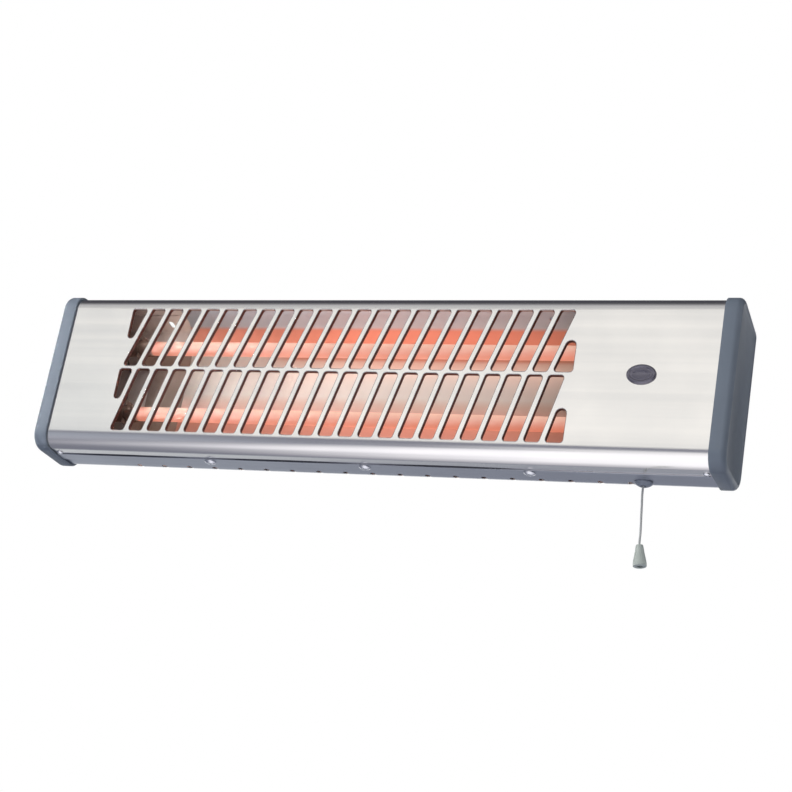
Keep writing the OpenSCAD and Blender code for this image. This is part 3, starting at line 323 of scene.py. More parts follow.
class Shader:
    """Adds and joins nodes in one node tree."""

    def __init__(self, tree: NodeTree) -> None:
        """Keeps the tree that the nodes go into."""
        self.tree = tree

    def add(self, kind: str, settings: dict | None = None, **inputs: object) -> Node:
        """Adds a node.

        Args:
            kind: Blender's type name without "ShaderNode".
            settings: Attributes of the node.
            **inputs: Values or sockets for its inputs, with _ for a space in a name.

        Returns:
            The node.
        """
        node = self.tree.nodes.new("ShaderNode" + kind)
        for key, value in (settings or {}).items():
            setattr(node, key, value)
        for key, value in inputs.items():
            self.set(node, key.replace("_", " "), value)
        return node

    def set(self, node: Node, name: str | int, value: object) -> None:
        """Gives an input of a node a value, or joins it to a socket.

        Args:
            node: The node.
            name: Name or number of the input.
            value: A number, a vector, an opaque colour, or the socket to join.
        """
        socket = node.inputs[name]
        if isinstance(value, NodeSocket):
            self.tree.links.new(value, socket)
        else:
            socket.default_value = (*value, 1.0) if socket.type == "RGBA" else value

    def group(self, name: str, **inputs: object) -> NodeOutputs:
        """Adds a shared group with its inputs and returns its outputs by name."""
        return self.add("Group", {"node_tree": bpy.data.node_groups[name]}, **inputs).outputs

    def math(self, operation: str, *values: object) -> NodeSocket:
        """Works out one arithmetic step and returns its result's socket."""
        node = self.add("Math", {"operation": operation})
        for k, value in enumerate(values):
            self.set(node, k, value)
        return node.outputs[0]

    def times(self, first: object, second: object) -> NodeSocket:
        """Multiplies two values."""
        return self.math("MULTIPLY", first, second)

    def line(self, value: object, slope: object, offset: object) -> NodeSocket:
        """Works out value * slope + offset."""
        return self.math("MULTIPLY_ADD", value, slope, offset)

    def vector(self, operation: str, first: object, second: object) -> NodeSocket:
        """Works out one vector step; SCALE takes a number second, DOT_PRODUCT gives one."""
        node = self.add("VectorMath", {"operation": operation})
        self.set(node, 0, first)
        self.set(node, "Scale" if operation == "SCALE" else 1, second)
        return node.outputs["Value" if operation == "DOT_PRODUCT" else "Vector"]

    def split(self, vector: object) -> tuple[NodeSocket, NodeSocket, NodeSocket]:
        """Gives the x, y and z of a vector."""
        return tuple(self.add("SeparateXYZ", Vector=vector).outputs)

    def noise(self, vector: object, scale: object, detail: float, roughness: float = 0.5) -> NodeSocket:
        """Adds a noise and returns its value, 0 to 1."""
        return self.add("TexNoise", Vector=vector, Scale=scale, Detail=detail, Roughness=roughness).outputs[0]

    def mix(self, share: object, first: object, second: object, blend: str = "MIX") -> NodeSocket:
        """Mixes two colours by a share and returns the mix's socket."""
        node = self.add("Mix", {"data_type": "RGBA", "blend_type": blend})
        for k, value in ((0, share), (6, first), (7, second)):
            self.set(node, k, value)
        return node.outputs[2]

    def span(
        self, value: object, low: object, high: object, to_low: float = 0.0, to_high: float = 1.0
    ) -> NodeSocket:
        """Maps low..high smoothly to to_low..to_high and returns the result's socket."""
        node = self.add("MapRange", {"interpolation_type": "SMOOTHSTEP"})
        for k, number in enumerate((value, low, high, to_low, to_high)):
            self.set(node, k, number)
        return node.outputs[0]

    def within(self, value: object, limits: Pair) -> NodeSocket:
        """Gives a mask that goes from 0 to 1 between two limits in millimetres."""
        return self.span(value, limits[0] * MM, limits[1] * MM)

    def blend_shaders(self, share: object, first: Node, second: Node) -> NodeSocket:
        """Mixes the results of two shader nodes by a share."""
        mixed = self.add("MixShader", Fac=share)
        self.set(mixed, 1, first.outputs[0])
        self.set(mixed, 2, second.outputs[0])
        return mixed.outputs[0]


class Surface(Shader):
    """A material under construction: a Principled shader on Object coordinates."""

    def __init__(self, name: str) -> None:
        """Makes the material and keeps its shader and its coordinates.

        Args:
            name: Name of the material.
        """
        self.material = bpy.data.materials.new(name)
        super().__init__(bare_tree(self.material))
        self.principled = self.add("BsdfPrincipled")
        self.add("OutputMaterial", Surface=self.principled.outputs[0])
        self.place = self.add("TexCoord").outputs["Object"]
        self.colour: NodeSocket | None = None
        self.rough: NodeSocket | None = None

    def look(self, **inputs: object) -> None:
        """Sets inputs of the Principled shader, with _ for a space in a name."""
        for key, value in inputs.items():
            self.set(self.principled, key.replace("_", " "), value)

    def bump(self, height: object, distance: float) -> None:
        """Joins a height from 0 to 1, which is a distance in metres, to the shader's normal."""
        self.look(Normal=self.add("Bump", Height=height, Distance=distance).outputs[0])


# ----------------------------------- shared effects


STREAK_LIMITS = (0.3, 0.7)
CLOUD_LIMITS = (0.32, 0.68)
BREAKUP_LIMITS = (0.35, 0.6)
BRAID_LIMITS = (-0.4, 0.9)
"""Values of the noises and of the waves between which their masks rise from 0 to 1."""
EDGE_SOFTNESS = 0.08
"""How far above its start the pointiness of an edge counts as full wear."""
INSIDE_LIMITS = (0.0, -4.0)
"""Millimetres across the body between which a sheet changes from its outside to its inside."""


class Effect(Shader):
    """A shader node group that several finishes share, under construction."""

    def __init__(self, name: str, outputs: Sequence[str], **inputs: float | Sequence[float] | None) -> None:
        """Makes the group with its sockets.

        Args:
            name: Name of the group.
            outputs: Names of its outputs, which are numbers.
            **inputs: The defaults of its inputs, where a number makes a number input
                and anything else a vector input.
        """
        super().__init__(bpy.data.node_groups.new(name, "ShaderNodeTree"))
        sockets = self.tree.interface
        for key, default in inputs.items():
            kind = "Float" if isinstance(default, float) else "Vector"
            socket = sockets.new_socket(key, in_out="INPUT", socket_type="NodeSocket" + kind)
            if default is not None:
                socket.default_value = default
        for key in outputs:
            sockets.new_socket(key, in_out="OUTPUT", socket_type="NodeSocketFloat")
        self.given = self.tree.nodes.new("NodeGroupInput").outputs
        self.result = self.tree.nodes.new("NodeGroupOutput")

    def give(self, **results: object) -> None:
        """Joins results to the group's outputs."""
        for key, value in results.items():
            self.set(self.result, key, value)


def build_streaks() -> None:
    """Brushed lines: two noises stretched along one direction, fine and broad."""
    sh = Effect("brushed_streaks", ("Height", "Mask"), Vector=None, Stretch=(3.0, 900.0, 900.0), Broad=0.1)
    place = sh.vector("MULTIPLY", sh.given["Vector"], sh.given["Stretch"])
    fine = sh.noise(place, 1.0, detail=3.0, roughness=0.6)
    broad = sh.noise(sh.vector("SCALE", place, sh.given["Broad"]), 1.0, detail=4.0)
    sh.give(Height=fine, Mask=sh.span(broad, *STREAK_LIMITS))


def build_mottle() -> None:
    """Soft cloudy variation with fine speckle, for paint, plastic and ceramic."""
    sh = Effect("mottle", ("Mask", "Height"), Vector=None, Cloud=40.0, Speckle=1500.0)
    cloud = sh.noise(sh.given[0], sh.given["Cloud"], detail=4.0)
    speck = sh.noise(sh.given[0], sh.given["Speckle"], detail=2.0)
    sh.give(Mask=sh.span(cloud, *CLOUD_LIMITS), Height=speck)


def build_wear() -> None:
    """Edge wear: the convex edges of a shape, broken up by noise."""
    sh = Effect("edge_wear", ("Mask",), Vector=None, Start=0.52, Breakup=300.0)
    start = sh.given["Start"]
    pointed = sh.add("NewGeometry").outputs["Pointiness"]
    edge = sh.span(pointed, start, sh.math("ADD", start, EDGE_SOFTNESS))
    noise = sh.noise(sh.given[0], sh.given["Breakup"], detail=3.0)
    sh.give(Mask=sh.times(edge, sh.span(noise, *BREAKUP_LIMITS)))


def build_braid() -> None:
    """Braid over a UV map: two sets of slanted waves that cross."""
    sh = Effect("braid", ("Height", "Mask"), UV=None, Along=60.0, Round=4.0)
    u, v, _ = sh.split(sh.given["UV"])
    along, turn = sh.times(u, sh.given["Along"]), sh.times(v, sh.given["Round"])
    waves = [sh.math("SINE", sh.times(sh.math(way, along, turn), 2 * np.pi)) for way in ("ADD", "SUBTRACT")]
    peak = sh.math("MAXIMUM", *waves)
    sh.give(Height=peak, Mask=sh.span(peak, *BRAID_LIMITS))


def build_inside() -> None:
    """Inside of the body: 1 where n . (p - middle of the body), across the body, is below 0."""
    sh = Effect("sheet_inside", ("Mask",), Vector=None, Normal=None)
    shape = BodyShape()
    middle = (0.0, (shape.depth / 2 - FACE_DEPTH) * MM, (shape.above - shape.below) / 2 * MM)
    across = sh.vector("MULTIPLY", sh.vector("SUBTRACT", sh.given["Vector"], middle), (0.0, 1.0, 1.0))
    sh.give(Mask=sh.within(sh.vector("DOT_PRODUCT", across, sh.given["Normal"]), INSIDE_LIMITS))


# ----------------------------------- finishes


@dataclass(frozen=True)
class Finish:
    """A finish of one material slot.

    edge_tone is the gain and the lift that turn its colour into that of worn edges.
    """

    name: str
    slot: str
    colour: Triple
    roughness: float = 0.5
    metallic: float = 0.0
    coat: float = 0.0
    roughness_range: float = 0.08
    shade: float = 0.9
    cloud: float = 30.0
    grain: float = 1400.0
    grain_depth: float = 6.0e-6
    rub: float = 0.0
    edge_start: float = 0.53
    edge_breakup: float = 260.0
    edge_tone: Pair = (1.25, 0.05)

    def build(self) -> Material:
        """Makes the material with its plain looks and paints it."""
        sh = Surface(self.name)
        sh.look(Metallic=self.metallic, Roughness=self.roughness, Coat_Weight=self.coat)
        self.paint(sh)
        return sh.material

    def paint(self, sh: Surface) -> None:
        """Dresses the material; a plain finish has one colour all over."""
        sh.look(Base_Color=self.colour)

    def toned(self, gain: float, lift: float = 0.0) -> Triple:
        """Gives the finish's colour times a gain plus a lift, at most 1."""
        return tuple(min(1.0, c * gain + lift) for c in self.colour)

    def mottle(self, sh: Surface) -> tuple[NodeSocket, NodeSocket]:
        """Adds the finish's clouds and grain and gives their mask and height."""
        group = sh.group("mottle", Vector=sh.place, Cloud=self.cloud, Speckle=self.grain)
        return group["Mask"], group["Height"]

    def rough(self, sh: Surface, share: NodeSocket) -> NodeSocket:
        """Spreads the roughness round its value by a share from 0 to 1."""
        return sh.line(share, self.roughness_range, self.roughness - self.roughness_range / 2)

    def rub_edges(self, sh: Surface, colour: NodeSocket) -> NodeSocket:
        """Lays the paler tone of worn edges over a colour."""
        edges = sh.group("edge_wear", Vector=sh.place, Start=self.edge_start, Breakup=self.edge_breakup)
        return sh.mix(sh.times(edges[0], self.rub), colour, self.toned(*self.edge_tone))


@dataclass(frozen=True)
class Brushed(Finish):
    """Brushed or rolled sheet metal with streaks, smudges and worn edges."""

    metallic: float = 1.0
    shade: float = 0.93
    cloud: float = 18.0
    grain: float = 900.0
    streak: Triple = (4.0, 1600.0, 1600.0)
    streak_depth: float = 2.0e-6
    streak_share: float = 0.6
    broad: float = 0.06
    tint: Triple = (1.0, 1.0, 1.0)

    def paint(self, sh: Surface) -> None:
        """Dresses the metal: streaks and clouds shift the colour and roughness a little.

        Args:
            sh: The material's surface.
        """
        streaks = sh.group("brushed_streaks", Vector=sh.place, Stretch=self.streak, Broad=self.broad)
        dark = tuple(c * t for c, t in zip(self.toned(self.shade), self.tint))
        clouds = sh.times(self.mottle(sh)[0], 1 - self.streak_share)
        share = sh.line(streaks["Mask"], self.streak_share, clouds)
        sh.colour, sh.rough = sh.mix(share, self.colour, dark), self.rough(sh, share)
        if self.rub:
            sh.colour = self.rub_edges(sh, sh.colour)
        self.vary(sh)
        sh.look(Base_Color=sh.colour, Roughness=sh.rough)
        sh.bump(streaks["Height"], self.streak_depth)

    def vary(self, sh: Surface) -> None:
        """Changes sh.colour and sh.rough from place to place; a plain metal leaves them."""


@dataclass(frozen=True)
class BodySheet(Brushed):
    """Sheet of the body: bright outside, dull inside in a warm colour that partly paints the tubes' glow,
    painted shade on the walls of its slots and, where gap_bow is set, a painted shadow along its bottom edge.

    Pairs are the limits in millimetres between which a mask rises or falls.
    """

    # Warm colour of the dull inside, which also paints the tubes' glow falling there.
    inside: Triple = (0.86, 0.77, 0.72)
    # Near-black colour of the slots' walls: painted shade in the slots.
    scorch_and_shade: Triple = (0.085, 0.028, 0.02)
    slot_middle: float = -1.6
    slot_height: float = 55.2
    wall_shade_from: Pair = (0.03, 0.2)
    wall_shade_to: Pair = (3.5, 3.3)
    worn_metallic: float = -0.9
    worn_roughness: float = 0.25
    # Near-black colour of a painted shadow along the bottom edge, where it bows between its screws.
    gap_shadow: Triple = (0.02, 0.02, 0.03)
    gap_bow: float = 0.0
    gap_end: float = 22.0
    gap_edge: Pair = (-0.1, 0.4)
    gap_height: Pair = (-60.0, -64.0)
    gap_right: Pair = (155.0, 135.0)
    screw_pitch: float = 143.5

    def vary(self, sh: Surface) -> None:
        """Dulls the inside in a warm colour that also paints the tubes' glow there, paints shade on the
        slots' walls and paints a shadow along the bottom edge.

        The walls are what lies behind the face within slot height. The painted shadow begins gap_bow |sin(pi
        x / screw_pitch)| before gap_end, where the edge bows between its screws.

        Args:
            sh: The material's surface.
        """
        dull = sh.group("sheet_inside", Vector=sh.place, Normal=sh.add("TexCoord").outputs["Normal"])[0]
        x, y, z = sh.split(sh.place)
        depth = sh.math("ADD", y, FACE_DEPTH * MM)
        height = sh.math("ABSOLUTE", sh.math("ADD", z, -self.slot_middle * MM))
        # behind and wall mask the slots' walls, which get the painted shade.
        behind = sh.times(sh.within(depth, self.wall_shade_from), sh.within(depth, self.wall_shade_to))
        wall = sh.times(behind, sh.within(height, (self.slot_height, self.slot_height - 1)))
        # The inside gets its colour with the painted glow, and the slots' walls get their painted shade.
        sh.colour = sh.mix(wall, sh.mix(dull, sh.colour, self.inside), self.scorch_and_shade)
        # The inside, the shaded walls and, below, the painted shadow make the metal dull.
        worn = sh.math("MAXIMUM", dull, wall)
        # Paints a shadow along the bottom edge, widest between the screws and fading out to the right between
        # x = 135 and 155 mm.
        if self.gap_bow:
            bow = sh.math("ABSOLUTE", sh.math("SINE", sh.times(x, np.pi / (self.screw_pitch * MM))))
            past = sh.line(bow, self.gap_bow * MM, sh.math("SUBTRACT", depth, self.gap_end * MM))
            dark = sh.times(sh.within(past, self.gap_edge), sh.within(z, self.gap_height))
            dark = sh.times(dark, sh.within(x, self.gap_right))
            sh.colour = sh.mix(dark, sh.colour, self.gap_shadow)
            worn = sh.math("MAXIMUM", worn, dark)
        sh.look(Metallic=sh.line(worn, self.worn_metallic, self.metallic))
        sh.rough = sh.line(worn, self.worn_roughness, sh.rough)


@dataclass(frozen=True)
class ReflectorSheet(Brushed):
    """Bright reflector with the tubes' glow and the room's reflections painted on it, band by band along its
    height.

    Each band gives the height in millimetres and the painted colour there. Under the upper tube the painted
    glow gives way to a plain paler colour towards the left end. Pairs are the limits in millimetres between
    which a mask rises or falls.
    """

    painted_bands: tuple[tuple[float, Triple], ...] = ()
    reach: float = 62.0
    # Plain colour in place of the painted glow under the upper tube, towards the left end.
    clear: Triple = (0.84, 0.80, 0.78)
    clear_from: Pair = (18.0, 24.0)
    clear_to: Pair = (40.0, 36.0)
    clear_left: Pair = (-85.0, -135.0)

    def vary(self, sh: Surface) -> None:
        """Lays the painted glow and reflections along the height, share = (z + reach) / (2 reach), times the
        metal's colour.

        Args:
            sh: The material's surface.
        """
        x, _, z = sh.split(sh.place)
        ramp = sh.add("ValToRGB", Fac=sh.line(z, 0.5 / (self.reach * MM), 0.5))
        stops = ramp.color_ramp.elements
        stops.remove(stops[1])
        for number, (level, tint) in enumerate(self.painted_bands):
            stop = stops[0] if number == 0 else stops.new((level + self.reach) / (2 * self.reach))
            stop.color = (*tint, 1.0)
        under = sh.times(sh.within(z, self.clear_from), sh.within(z, self.clear_to))
        clear = sh.times(under, sh.within(x, self.clear_left))
        tint = sh.mix(clear, ramp.outputs[0], self.clear)
        sh.colour = sh.mix(1.0, sh.colour, tint, "MULTIPLY")


@dataclass(frozen=True)
class Moulded(Finish):
    """Moulded plastic, rubber or fibre with a fine grain and slightly rubbed edges."""

    cloud_share: float = 0.5
    rub: float = 0.25
    edge_start: float = 0.54
    edge_breakup: float = 180.0
    edge_tone: Pair = (1.3, 0.04)

    def paint(self, sh: Surface) -> None:
        """Dresses the plastic: clouds shift the colour, speckle makes the grain.

        Args:
            sh: The material's surface.
        """
        cloud, speck = self.mottle(sh)
        colour = sh.mix(sh.times(cloud, self.cloud_share), self.colour, self.toned(self.shade))
        sh.look(Base_Color=self.rub_edges(sh, colour), Roughness=self.rough(sh, cloud))
        sh.bump(speck, self.grain_depth)


@dataclass(frozen=True)
class GlowingQuartz(Finish):
    """Milky quartz lit from inside by the coil, with a painted highlight on its upper side and deeper at its
    two ends.

    fade and deep_end are distances from the ends of the glow in millimetres; uneven and
    highlight_seen are each a slope and an offset.
    """

    deep: Triple = (0.66, 0.17, 0.095)
    pale: Triple = (0.74, 0.38, 0.27)
    strength: float = 0.9
    cast: float = 2.3
    mirrored: float = 1.6
    cast_colour: Triple = (1.0, 0.84, 0.72)
    middle: float = -17.0
    half_length: float = 199.0
    fade: Pair = (3.0, 0.3)
    deep_end: Pair = (14.0, 5.0)
    end_glow: float = 0.05
    uneven: Pair = (0.12, 0.9)
    highlight_seen: Pair = (0.8, 0.2)
    rise: float = 30.0
    radius: float = 6.0
    highlight_from: float = 0.7
    shade: float = 0.95
    cloud: float = 60.0
    grain: float = 700.0
    grain_depth: float = 8.0e-6

    def paint(self, sh: Surface) -> None:
        """Dresses the quartz.

        The glow goes from deep to pale with the height above the tube's axis, a painted highlight of light on
        the tube's upper side, is deep near the ends and fades over the last millimetres. The highlight is
        full to the camera and weaker to other rays. Its mirror image on the reflector is stronger and deeper
        than its look to the camera, which would clip, and its light is paler.

        Args:
            sh: The material's surface.
        """
        x, _, z = sh.split(sh.place)
        away = sh.math("ABSOLUTE", sh.math("SUBTRACT", x, self.middle * MM))
        lit = sh.span(away, *((self.half_length - d) * MM for d in self.fade), 1.0, self.end_glow)
        axis = sh.times(sh.math("SIGN", z), self.rise * MM)
        above = sh.within(sh.math("SUBTRACT", z, axis), (-self.radius, self.radius * self.highlight_from))
        inner = sh.span(away, *((self.half_length - d) * MM for d in self.deep_end), 1.0, 0.0)
        cloud, speck = self.mottle(sh)
        rays = sh.add("LightPath").outputs
        seen, mirror = rays["Is Camera Ray"], rays["Is Glossy Ray"]
        # Painted highlight on the tube's upper side, full to the camera and weaker to other rays.
        paler = sh.times(sh.times(above, inner), sh.line(seen, *self.highlight_seen))
        shown = sh.mix(paler, self.deep, self.pale)
        glow = sh.mix(sh.math("MAXIMUM", seen, mirror), self.cast_colour, shown)
        power = sh.line(seen, self.strength - self.cast, self.cast)
        sh.look(
            Base_Color=sh.mix(cloud, self.colour, self.toned(self.shade)),
            Emission_Color=sh.vector("SCALE", glow, sh.times(lit, sh.line(cloud, *self.uneven))),
            Emission_Strength=sh.line(mirror, self.mirrored - self.cast, power),
        )
        sh.material.cycles.emission_sampling = "NONE"
        sh.bump(speck, self.grain_depth)


@dataclass(frozen=True)
class ShadedCeramic(Finish):
    """Fired ceramic in a dark brown that paints the shade and warm glow inside the body, with darker clouds.
    """

    scorch_and_shade: Triple = (0.42, 0.30, 0.22)
    scorch_share: float = 0.55
    cloud: float = 90.0
    grain: float = 2600.0
    grain_depth: float = 2.0e-5
    rub: float = 0.4
    edge_breakup: float = 500.0
    edge_tone: Pair = (1.6, 0.05)

    def paint(self, sh: Surface) -> None:
        """Dresses the ceramic: darker clouds over a chalky grain, on a dark brown that paints shade and warm
        glow.

        Args:
            sh: The material's surface.
        """
        cloud, speck = self.mottle(sh)
        colour = sh.mix(sh.times(cloud, self.scorch_share), self.colour, self.scorch_and_shade)
        sh.look(Base_Color=self.rub_edges(sh, colour))
        sh.bump(speck, self.grain_depth)


@dataclass(frozen=True)
class Woven(Finish):
    """Braided cord or sleeve, with its pattern on the piece's own UV map."""

    along: float = 26.0
    strands: float = 3.0
    braid_depth: float = 8.0e-5
    shade: float = 0.55
    sheen: float = 0.3

    def paint(self, sh: Surface) -> None:
        """Dresses the braid: crossing waves shade the colour and raise the strands.

        Args:
            sh: The material's surface.
        """
        braid = sh.group("braid", UV=sh.add("UVMap").outputs[0], Along=self.along, Round=self.strands)
        colour = sh.mix(braid["Mask"], self.toned(self.shade), self.colour)
        sh.look(Base_Color=colour, Sheen_Weight=self.sheen)
        sh.bump(braid["Height"], self.braid_depth)


@dataclass(frozen=True)
class EarthStripe(Finish):
    """Green wire insulation with a yellow stripe wound round it."""

    stripe: Triple = (0.80, 0.70, 0.05)
    slant: float = 0.8
    waves: float = 1800.0
    edge: Pair = (0.1, 0.3)
    cloud: float = 60.0
    grain: float = 1500.0
    grain_depth: float = 5.0e-6

    def paint(self, sh: Surface) -> None:
        """Dresses the stripe: sine of a slanted sum of the Object coordinates.

        Args:
            sh: The material's surface.
        """
        x, y, _ = sh.split(sh.place)
        wave = sh.math("SINE", sh.times(sh.line(x, self.slant, y), self.waves))
        sh.look(Base_Color=sh.mix(sh.span(wave, *self.edge), self.colour, self.stripe))
        sh.bump(self.mottle(sh)[1], self.grain_depth)


# Painted glow of the tubes and painted reflections of the room on the reflector, by height.
REFLECTOR_PAINTED_BANDS = (
    (-60.0, (0.70, 0.62, 0.60)),
    (-40.0, (0.80, 0.44, 0.38)),
    (-27.0, (0.84, 0.40, 0.32)),
    (-17.0, (0.84, 0.52, 0.45)),
    (-9.0, (0.88, 0.68, 0.60)),
    (-3.0, (0.97, 0.91, 0.86)),
    (19.0, (0.97, 0.91, 0.86)),
    (24.0, (0.90, 0.79, 0.74)),
    (28.0, (0.82, 0.64, 0.58)),
    (30.5, (0.70, 0.34, 0.26)),
    (34.5, (0.74, 0.32, 0.24)),
    (44.0, (0.88, 0.36, 0.26)),
    (52.0, (0.90, 0.38, 0.28)),
    (53.8, (0.68, 0.76, 0.84)),
    (60.0, (0.70, 0.80, 0.92)),
)
EVEN_GRAIN = (900.0, 900.0, 900.0)
WIRE_GRAIN = (2000.0, 2000.0, 2000.0)

FINISHES: tuple[Finish, ...] = (
    BodySheet(
        "cover_brushed", "cover_steel", (0.97, 0.94, 0.895), 0.2, shade=0.96, tint=(0.99, 1.0, 1.01),
        gap_bow=2.4,
    ),
    BodySheet("housing_rolled", "housing_steel", (0.50, 0.52, 0.58), 0.3, shade=0.9),
    Moulded("cap_satin", "cap_plastic", (0.14, 0.167, 0.205), 0.42, grain=2200.0, shade=0.93, rub=0.2),
    Moulded(
        "badge_gunmetal", "badge_plastic", (0.15, 0.14, 0.175), 0.24, metallic=0.6, coat=0.5, grain=1300.0,
        grain_depth=1.5e-4,
    ),
    Brushed("screw_zinc", "screw_steel", (0.78, 0.79, 0.82), 0.24, streak=EVEN_GRAIN, rub=0.4),
    ReflectorSheet(
        "reflector_polished", "reflector_metal", (0.98, 0.96, 0.94), 0.4, metallic=0.3,
        streak=(3.0, 700.0, 700.0), streak_depth=1.0e-6, painted_bands=REFLECTOR_PAINTED_BANDS,
    ),
    # Dark brown that paints the shade and warm glow on the zinc holders.
    Brushed("holder_zinc_shaded", "holder_steel", (0.33, 0.255, 0.22), 0.5, metallic=0.2, rub=0.2),
    # Dark colour that paints shade on the aluminium rivets.
    Brushed("rivet_aluminium_shaded", "rivet_metal", (0.30, 0.27, 0.26), 0.5, streak=(700.0, 700.0, 700.0), rub=0.4),
    GlowingQuartz("quartz_milky", "quartz", (0.45, 0.35, 0.31), 0.3, coat=0.2),
    Brushed("coil_oxidised", "coil_wire", (0.75, 0.30, 0.15), 0.5, streak=WIRE_GRAIN),
    # Dark brown that paints the shade and warm glow where the ceramics sit.
    ShadedCeramic("ceramic_fired", "ceramic", (0.30, 0.20, 0.155), 0.7, scorch_and_shade=(0.13, 0.075, 0.055)),
    Brushed("terminal_brass", "brass", (0.72, 0.55, 0.26), 0.32, streak=EVEN_GRAIN, rub=0.4),
    Moulded("sleeve_glass", "glass_sleeving", (0.09, 0.07, 0.065), 0.7, grain=3000.0, grain_depth=3.0e-5),
    Moulded("wire_blue", "blue_wire", (0.06, 0.17, 0.42), 0.4),
    Moulded("wire_brown", "brown_wire", (0.16, 0.07, 0.035), 0.4),
    Moulded("switch_moulding", "switch_plastic", (0.76, 0.74, 0.68), 0.45),
    Moulded("drum_moulding", "drum_plastic", (0.05, 0.055, 0.065), 0.4),
    Brushed("spring_wire", "spring_steel", (0.58, 0.60, 0.62), 0.3, streak=WIRE_GRAIN),
    Moulded("guide_satin", "guide_plastic", (0.22, 0.245, 0.295), 0.35, coat=0.2),
    Woven("cord_braided", "cord", (0.52, 0.53, 0.52), 0.85),
    Moulded("knob_satin", "knob_plastic", (0.44, 0.48, 0.44), 0.35, coat=0.15, grain=2500.0),
    Moulded("clamp_moulding", "clamp_plastic", (0.03, 0.03, 0.032), 0.5),
    Moulded("grommet_rubber", "grommet_rubber", (0.022, 0.022, 0.024), 0.7, grain=1800.0, grain_depth=1.5e-5),
    Brushed(
        "bracket_zinc", "bracket_steel", (0.60, 0.62, 0.65), 0.38, shade=0.85, rub=0.5,
        streak=(60.0, 60.0, 60.0),
    ),
    Brushed("bolt_zinc", "bolt_steel", (0.68, 0.70, 0.73), 0.3, streak=EVEN_GRAIN, rub=0.5),
    Moulded("washer_fibre", "washer_fibre", (0.08, 0.055, 0.04), 0.8, grain=2600.0, grain_depth=2.0e-5),
    EarthStripe("wire_earth", "earth_wire", (0.10, 0.36, 0.08), 0.4),
)


class Finishes:
    """Every finish as a material, by its slot."""

    def __init__(self) -> None:
        """Builds the shared effects and each finish once."""
        for build_effect in (build_streaks, build_mottle, build_wear, build_braid, build_inside):
            build_effect()
        self.by_slot = {finish.slot: finish.build() for finish in FINISHES}
        LOG.info("finishes: %d", len(self.by_slot))

    def dress(
        self, mesh: Mesh, slot: str, node: str, body: Body = Body.HEATER, crease: float = 32.0
    ) -> Object:
        """Puts a mesh into the scene as a piece of the heater.

        Args:
            mesh: Its mesh in the row frame, which gives the piece its name.
            slot: The record's material slot.
            node: The CAD node that it stands for.
            body: The body that it moves with.
            crease: Angle in degrees above which an edge stays sharp.

        Returns:
            The new object.
        """
        mesh.set_sharp_from_angle(angle=np.radians(crease))
        mesh.materials.append(self.by_slot[slot])
        piece = link(mesh.name, mesh)
        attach(piece, body.value)
        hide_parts(node)
        LOG.info("%s: %d faces, rides on %s", mesh.name, len(mesh.polygons), body.value)
        return piece


@dataclass
class Part:
    """A sub-assembly that builds its pieces and dresses them."""

    finishes: Finishes


# ----------------------------------- body


@dataclass
class BodyShape:
    """The body's outline, seen from its right end."""

    length: float = 560.0
    depth: float = 57.0
    below: float = 70.5
    above: float = 68.0
    top_fall: float = 9.6
    bends: Four = (13.0, 12.0, 4.5, 12.0)
    sheet: float = 0.8
    lip: float = 31.0

    def ring(self, out: float, steps: int) -> Array:
        """Gives the outline grown by a distance, as (depth, height) points.

        Args:
            out: Distance by which it grows.
            steps: Steps round each bend.

        Returns:
            Array (n, 2), anticlockwise from the lower front corner.
        """
        corners = np.array([
            [0.0, -self.below], [self.depth, -self.below],
            [self.depth, self.above - self.top_fall], [0.0, self.above],
        ])
        return rounded_ring(corners, np.array(self.bends), out, steps)


@dataclass
class Grille:
    """Two rows of slanted slots."""

    left: float = -224.2
    slats: int = 23
    pitch: float = 17.06
    slat: float = 5.0
    starts: Pair = (0.8, -0.7)
    leans: Pair = (13.8, 18.2)
    feet: Pair = (-56.0, 1.75)
    tops: Pair = (-1.75, 53.0)
    corner: float = 2.3
    tips: Pair = (2.9, 4.0)

    def slat_x(self, row: int, k: Array | int, z: float) -> Array:
        """Middle line of slat k: left + start + k pitch + (z - foot) tan(lean)."""
        lean = np.tan(np.radians(self.leans[row]))
        return self.left + self.starts[row] + k * self.pitch + (z - self.feet[row]) * lean

    def slat_z(self, row: int, k: int, x: float) -> float:
        """Height at which the middle line of slat k reaches x."""
        foot = self.feet[row]
        return foot + (x - self.slat_x(row, k, foot)) / np.tan(np.radians(self.leans[row]))

    def outlines(self) -> list[tuple[Array, Array]]:
        """Gives the slots' corners and bend radii: full slots, then a tapered one at each end.

        Returns:
            Pairs of arrays (slots, corners, 2) and (slots, corners).
        """
        half, last = self.slat / 2, self.slats - 1
        right = self.left + self.slats * self.pitch
        k = np.arange(last)
        result = []
        for row, (foot, top) in enumerate(zip(self.feet, self.tops)):
            corners = np.stack([
                np.stack([self.slat_x(row, k + ahead, z) + way * half, 0 * k + z], -1)
                for ahead, way, z in ((0, 1, foot), (1, -1, foot), (1, -1, top), (0, 1, top))
            ], axis=1)
            first_tip = [self.left, self.slat_z(row, 0, self.left + half)]
            last_tip = [right, self.slat_z(row, last, right - half)]
            at_left = [first_tip, [self.slat_x(row, 0, top) - half, top], [self.left, top]]
            at_right = [[self.slat_x(row, last, foot) + half, foot], [right, foot], last_tip]
            result += [
                (corners, np.full(corners.shape[:2], self.corner)),
                (np.array([at_left]), np.array([[self.tips[0], self.corner, self.corner]])),
                (np.array([at_right]), np.array([[self.corner, self.corner, self.tips[1]]])),
            ]
        return result


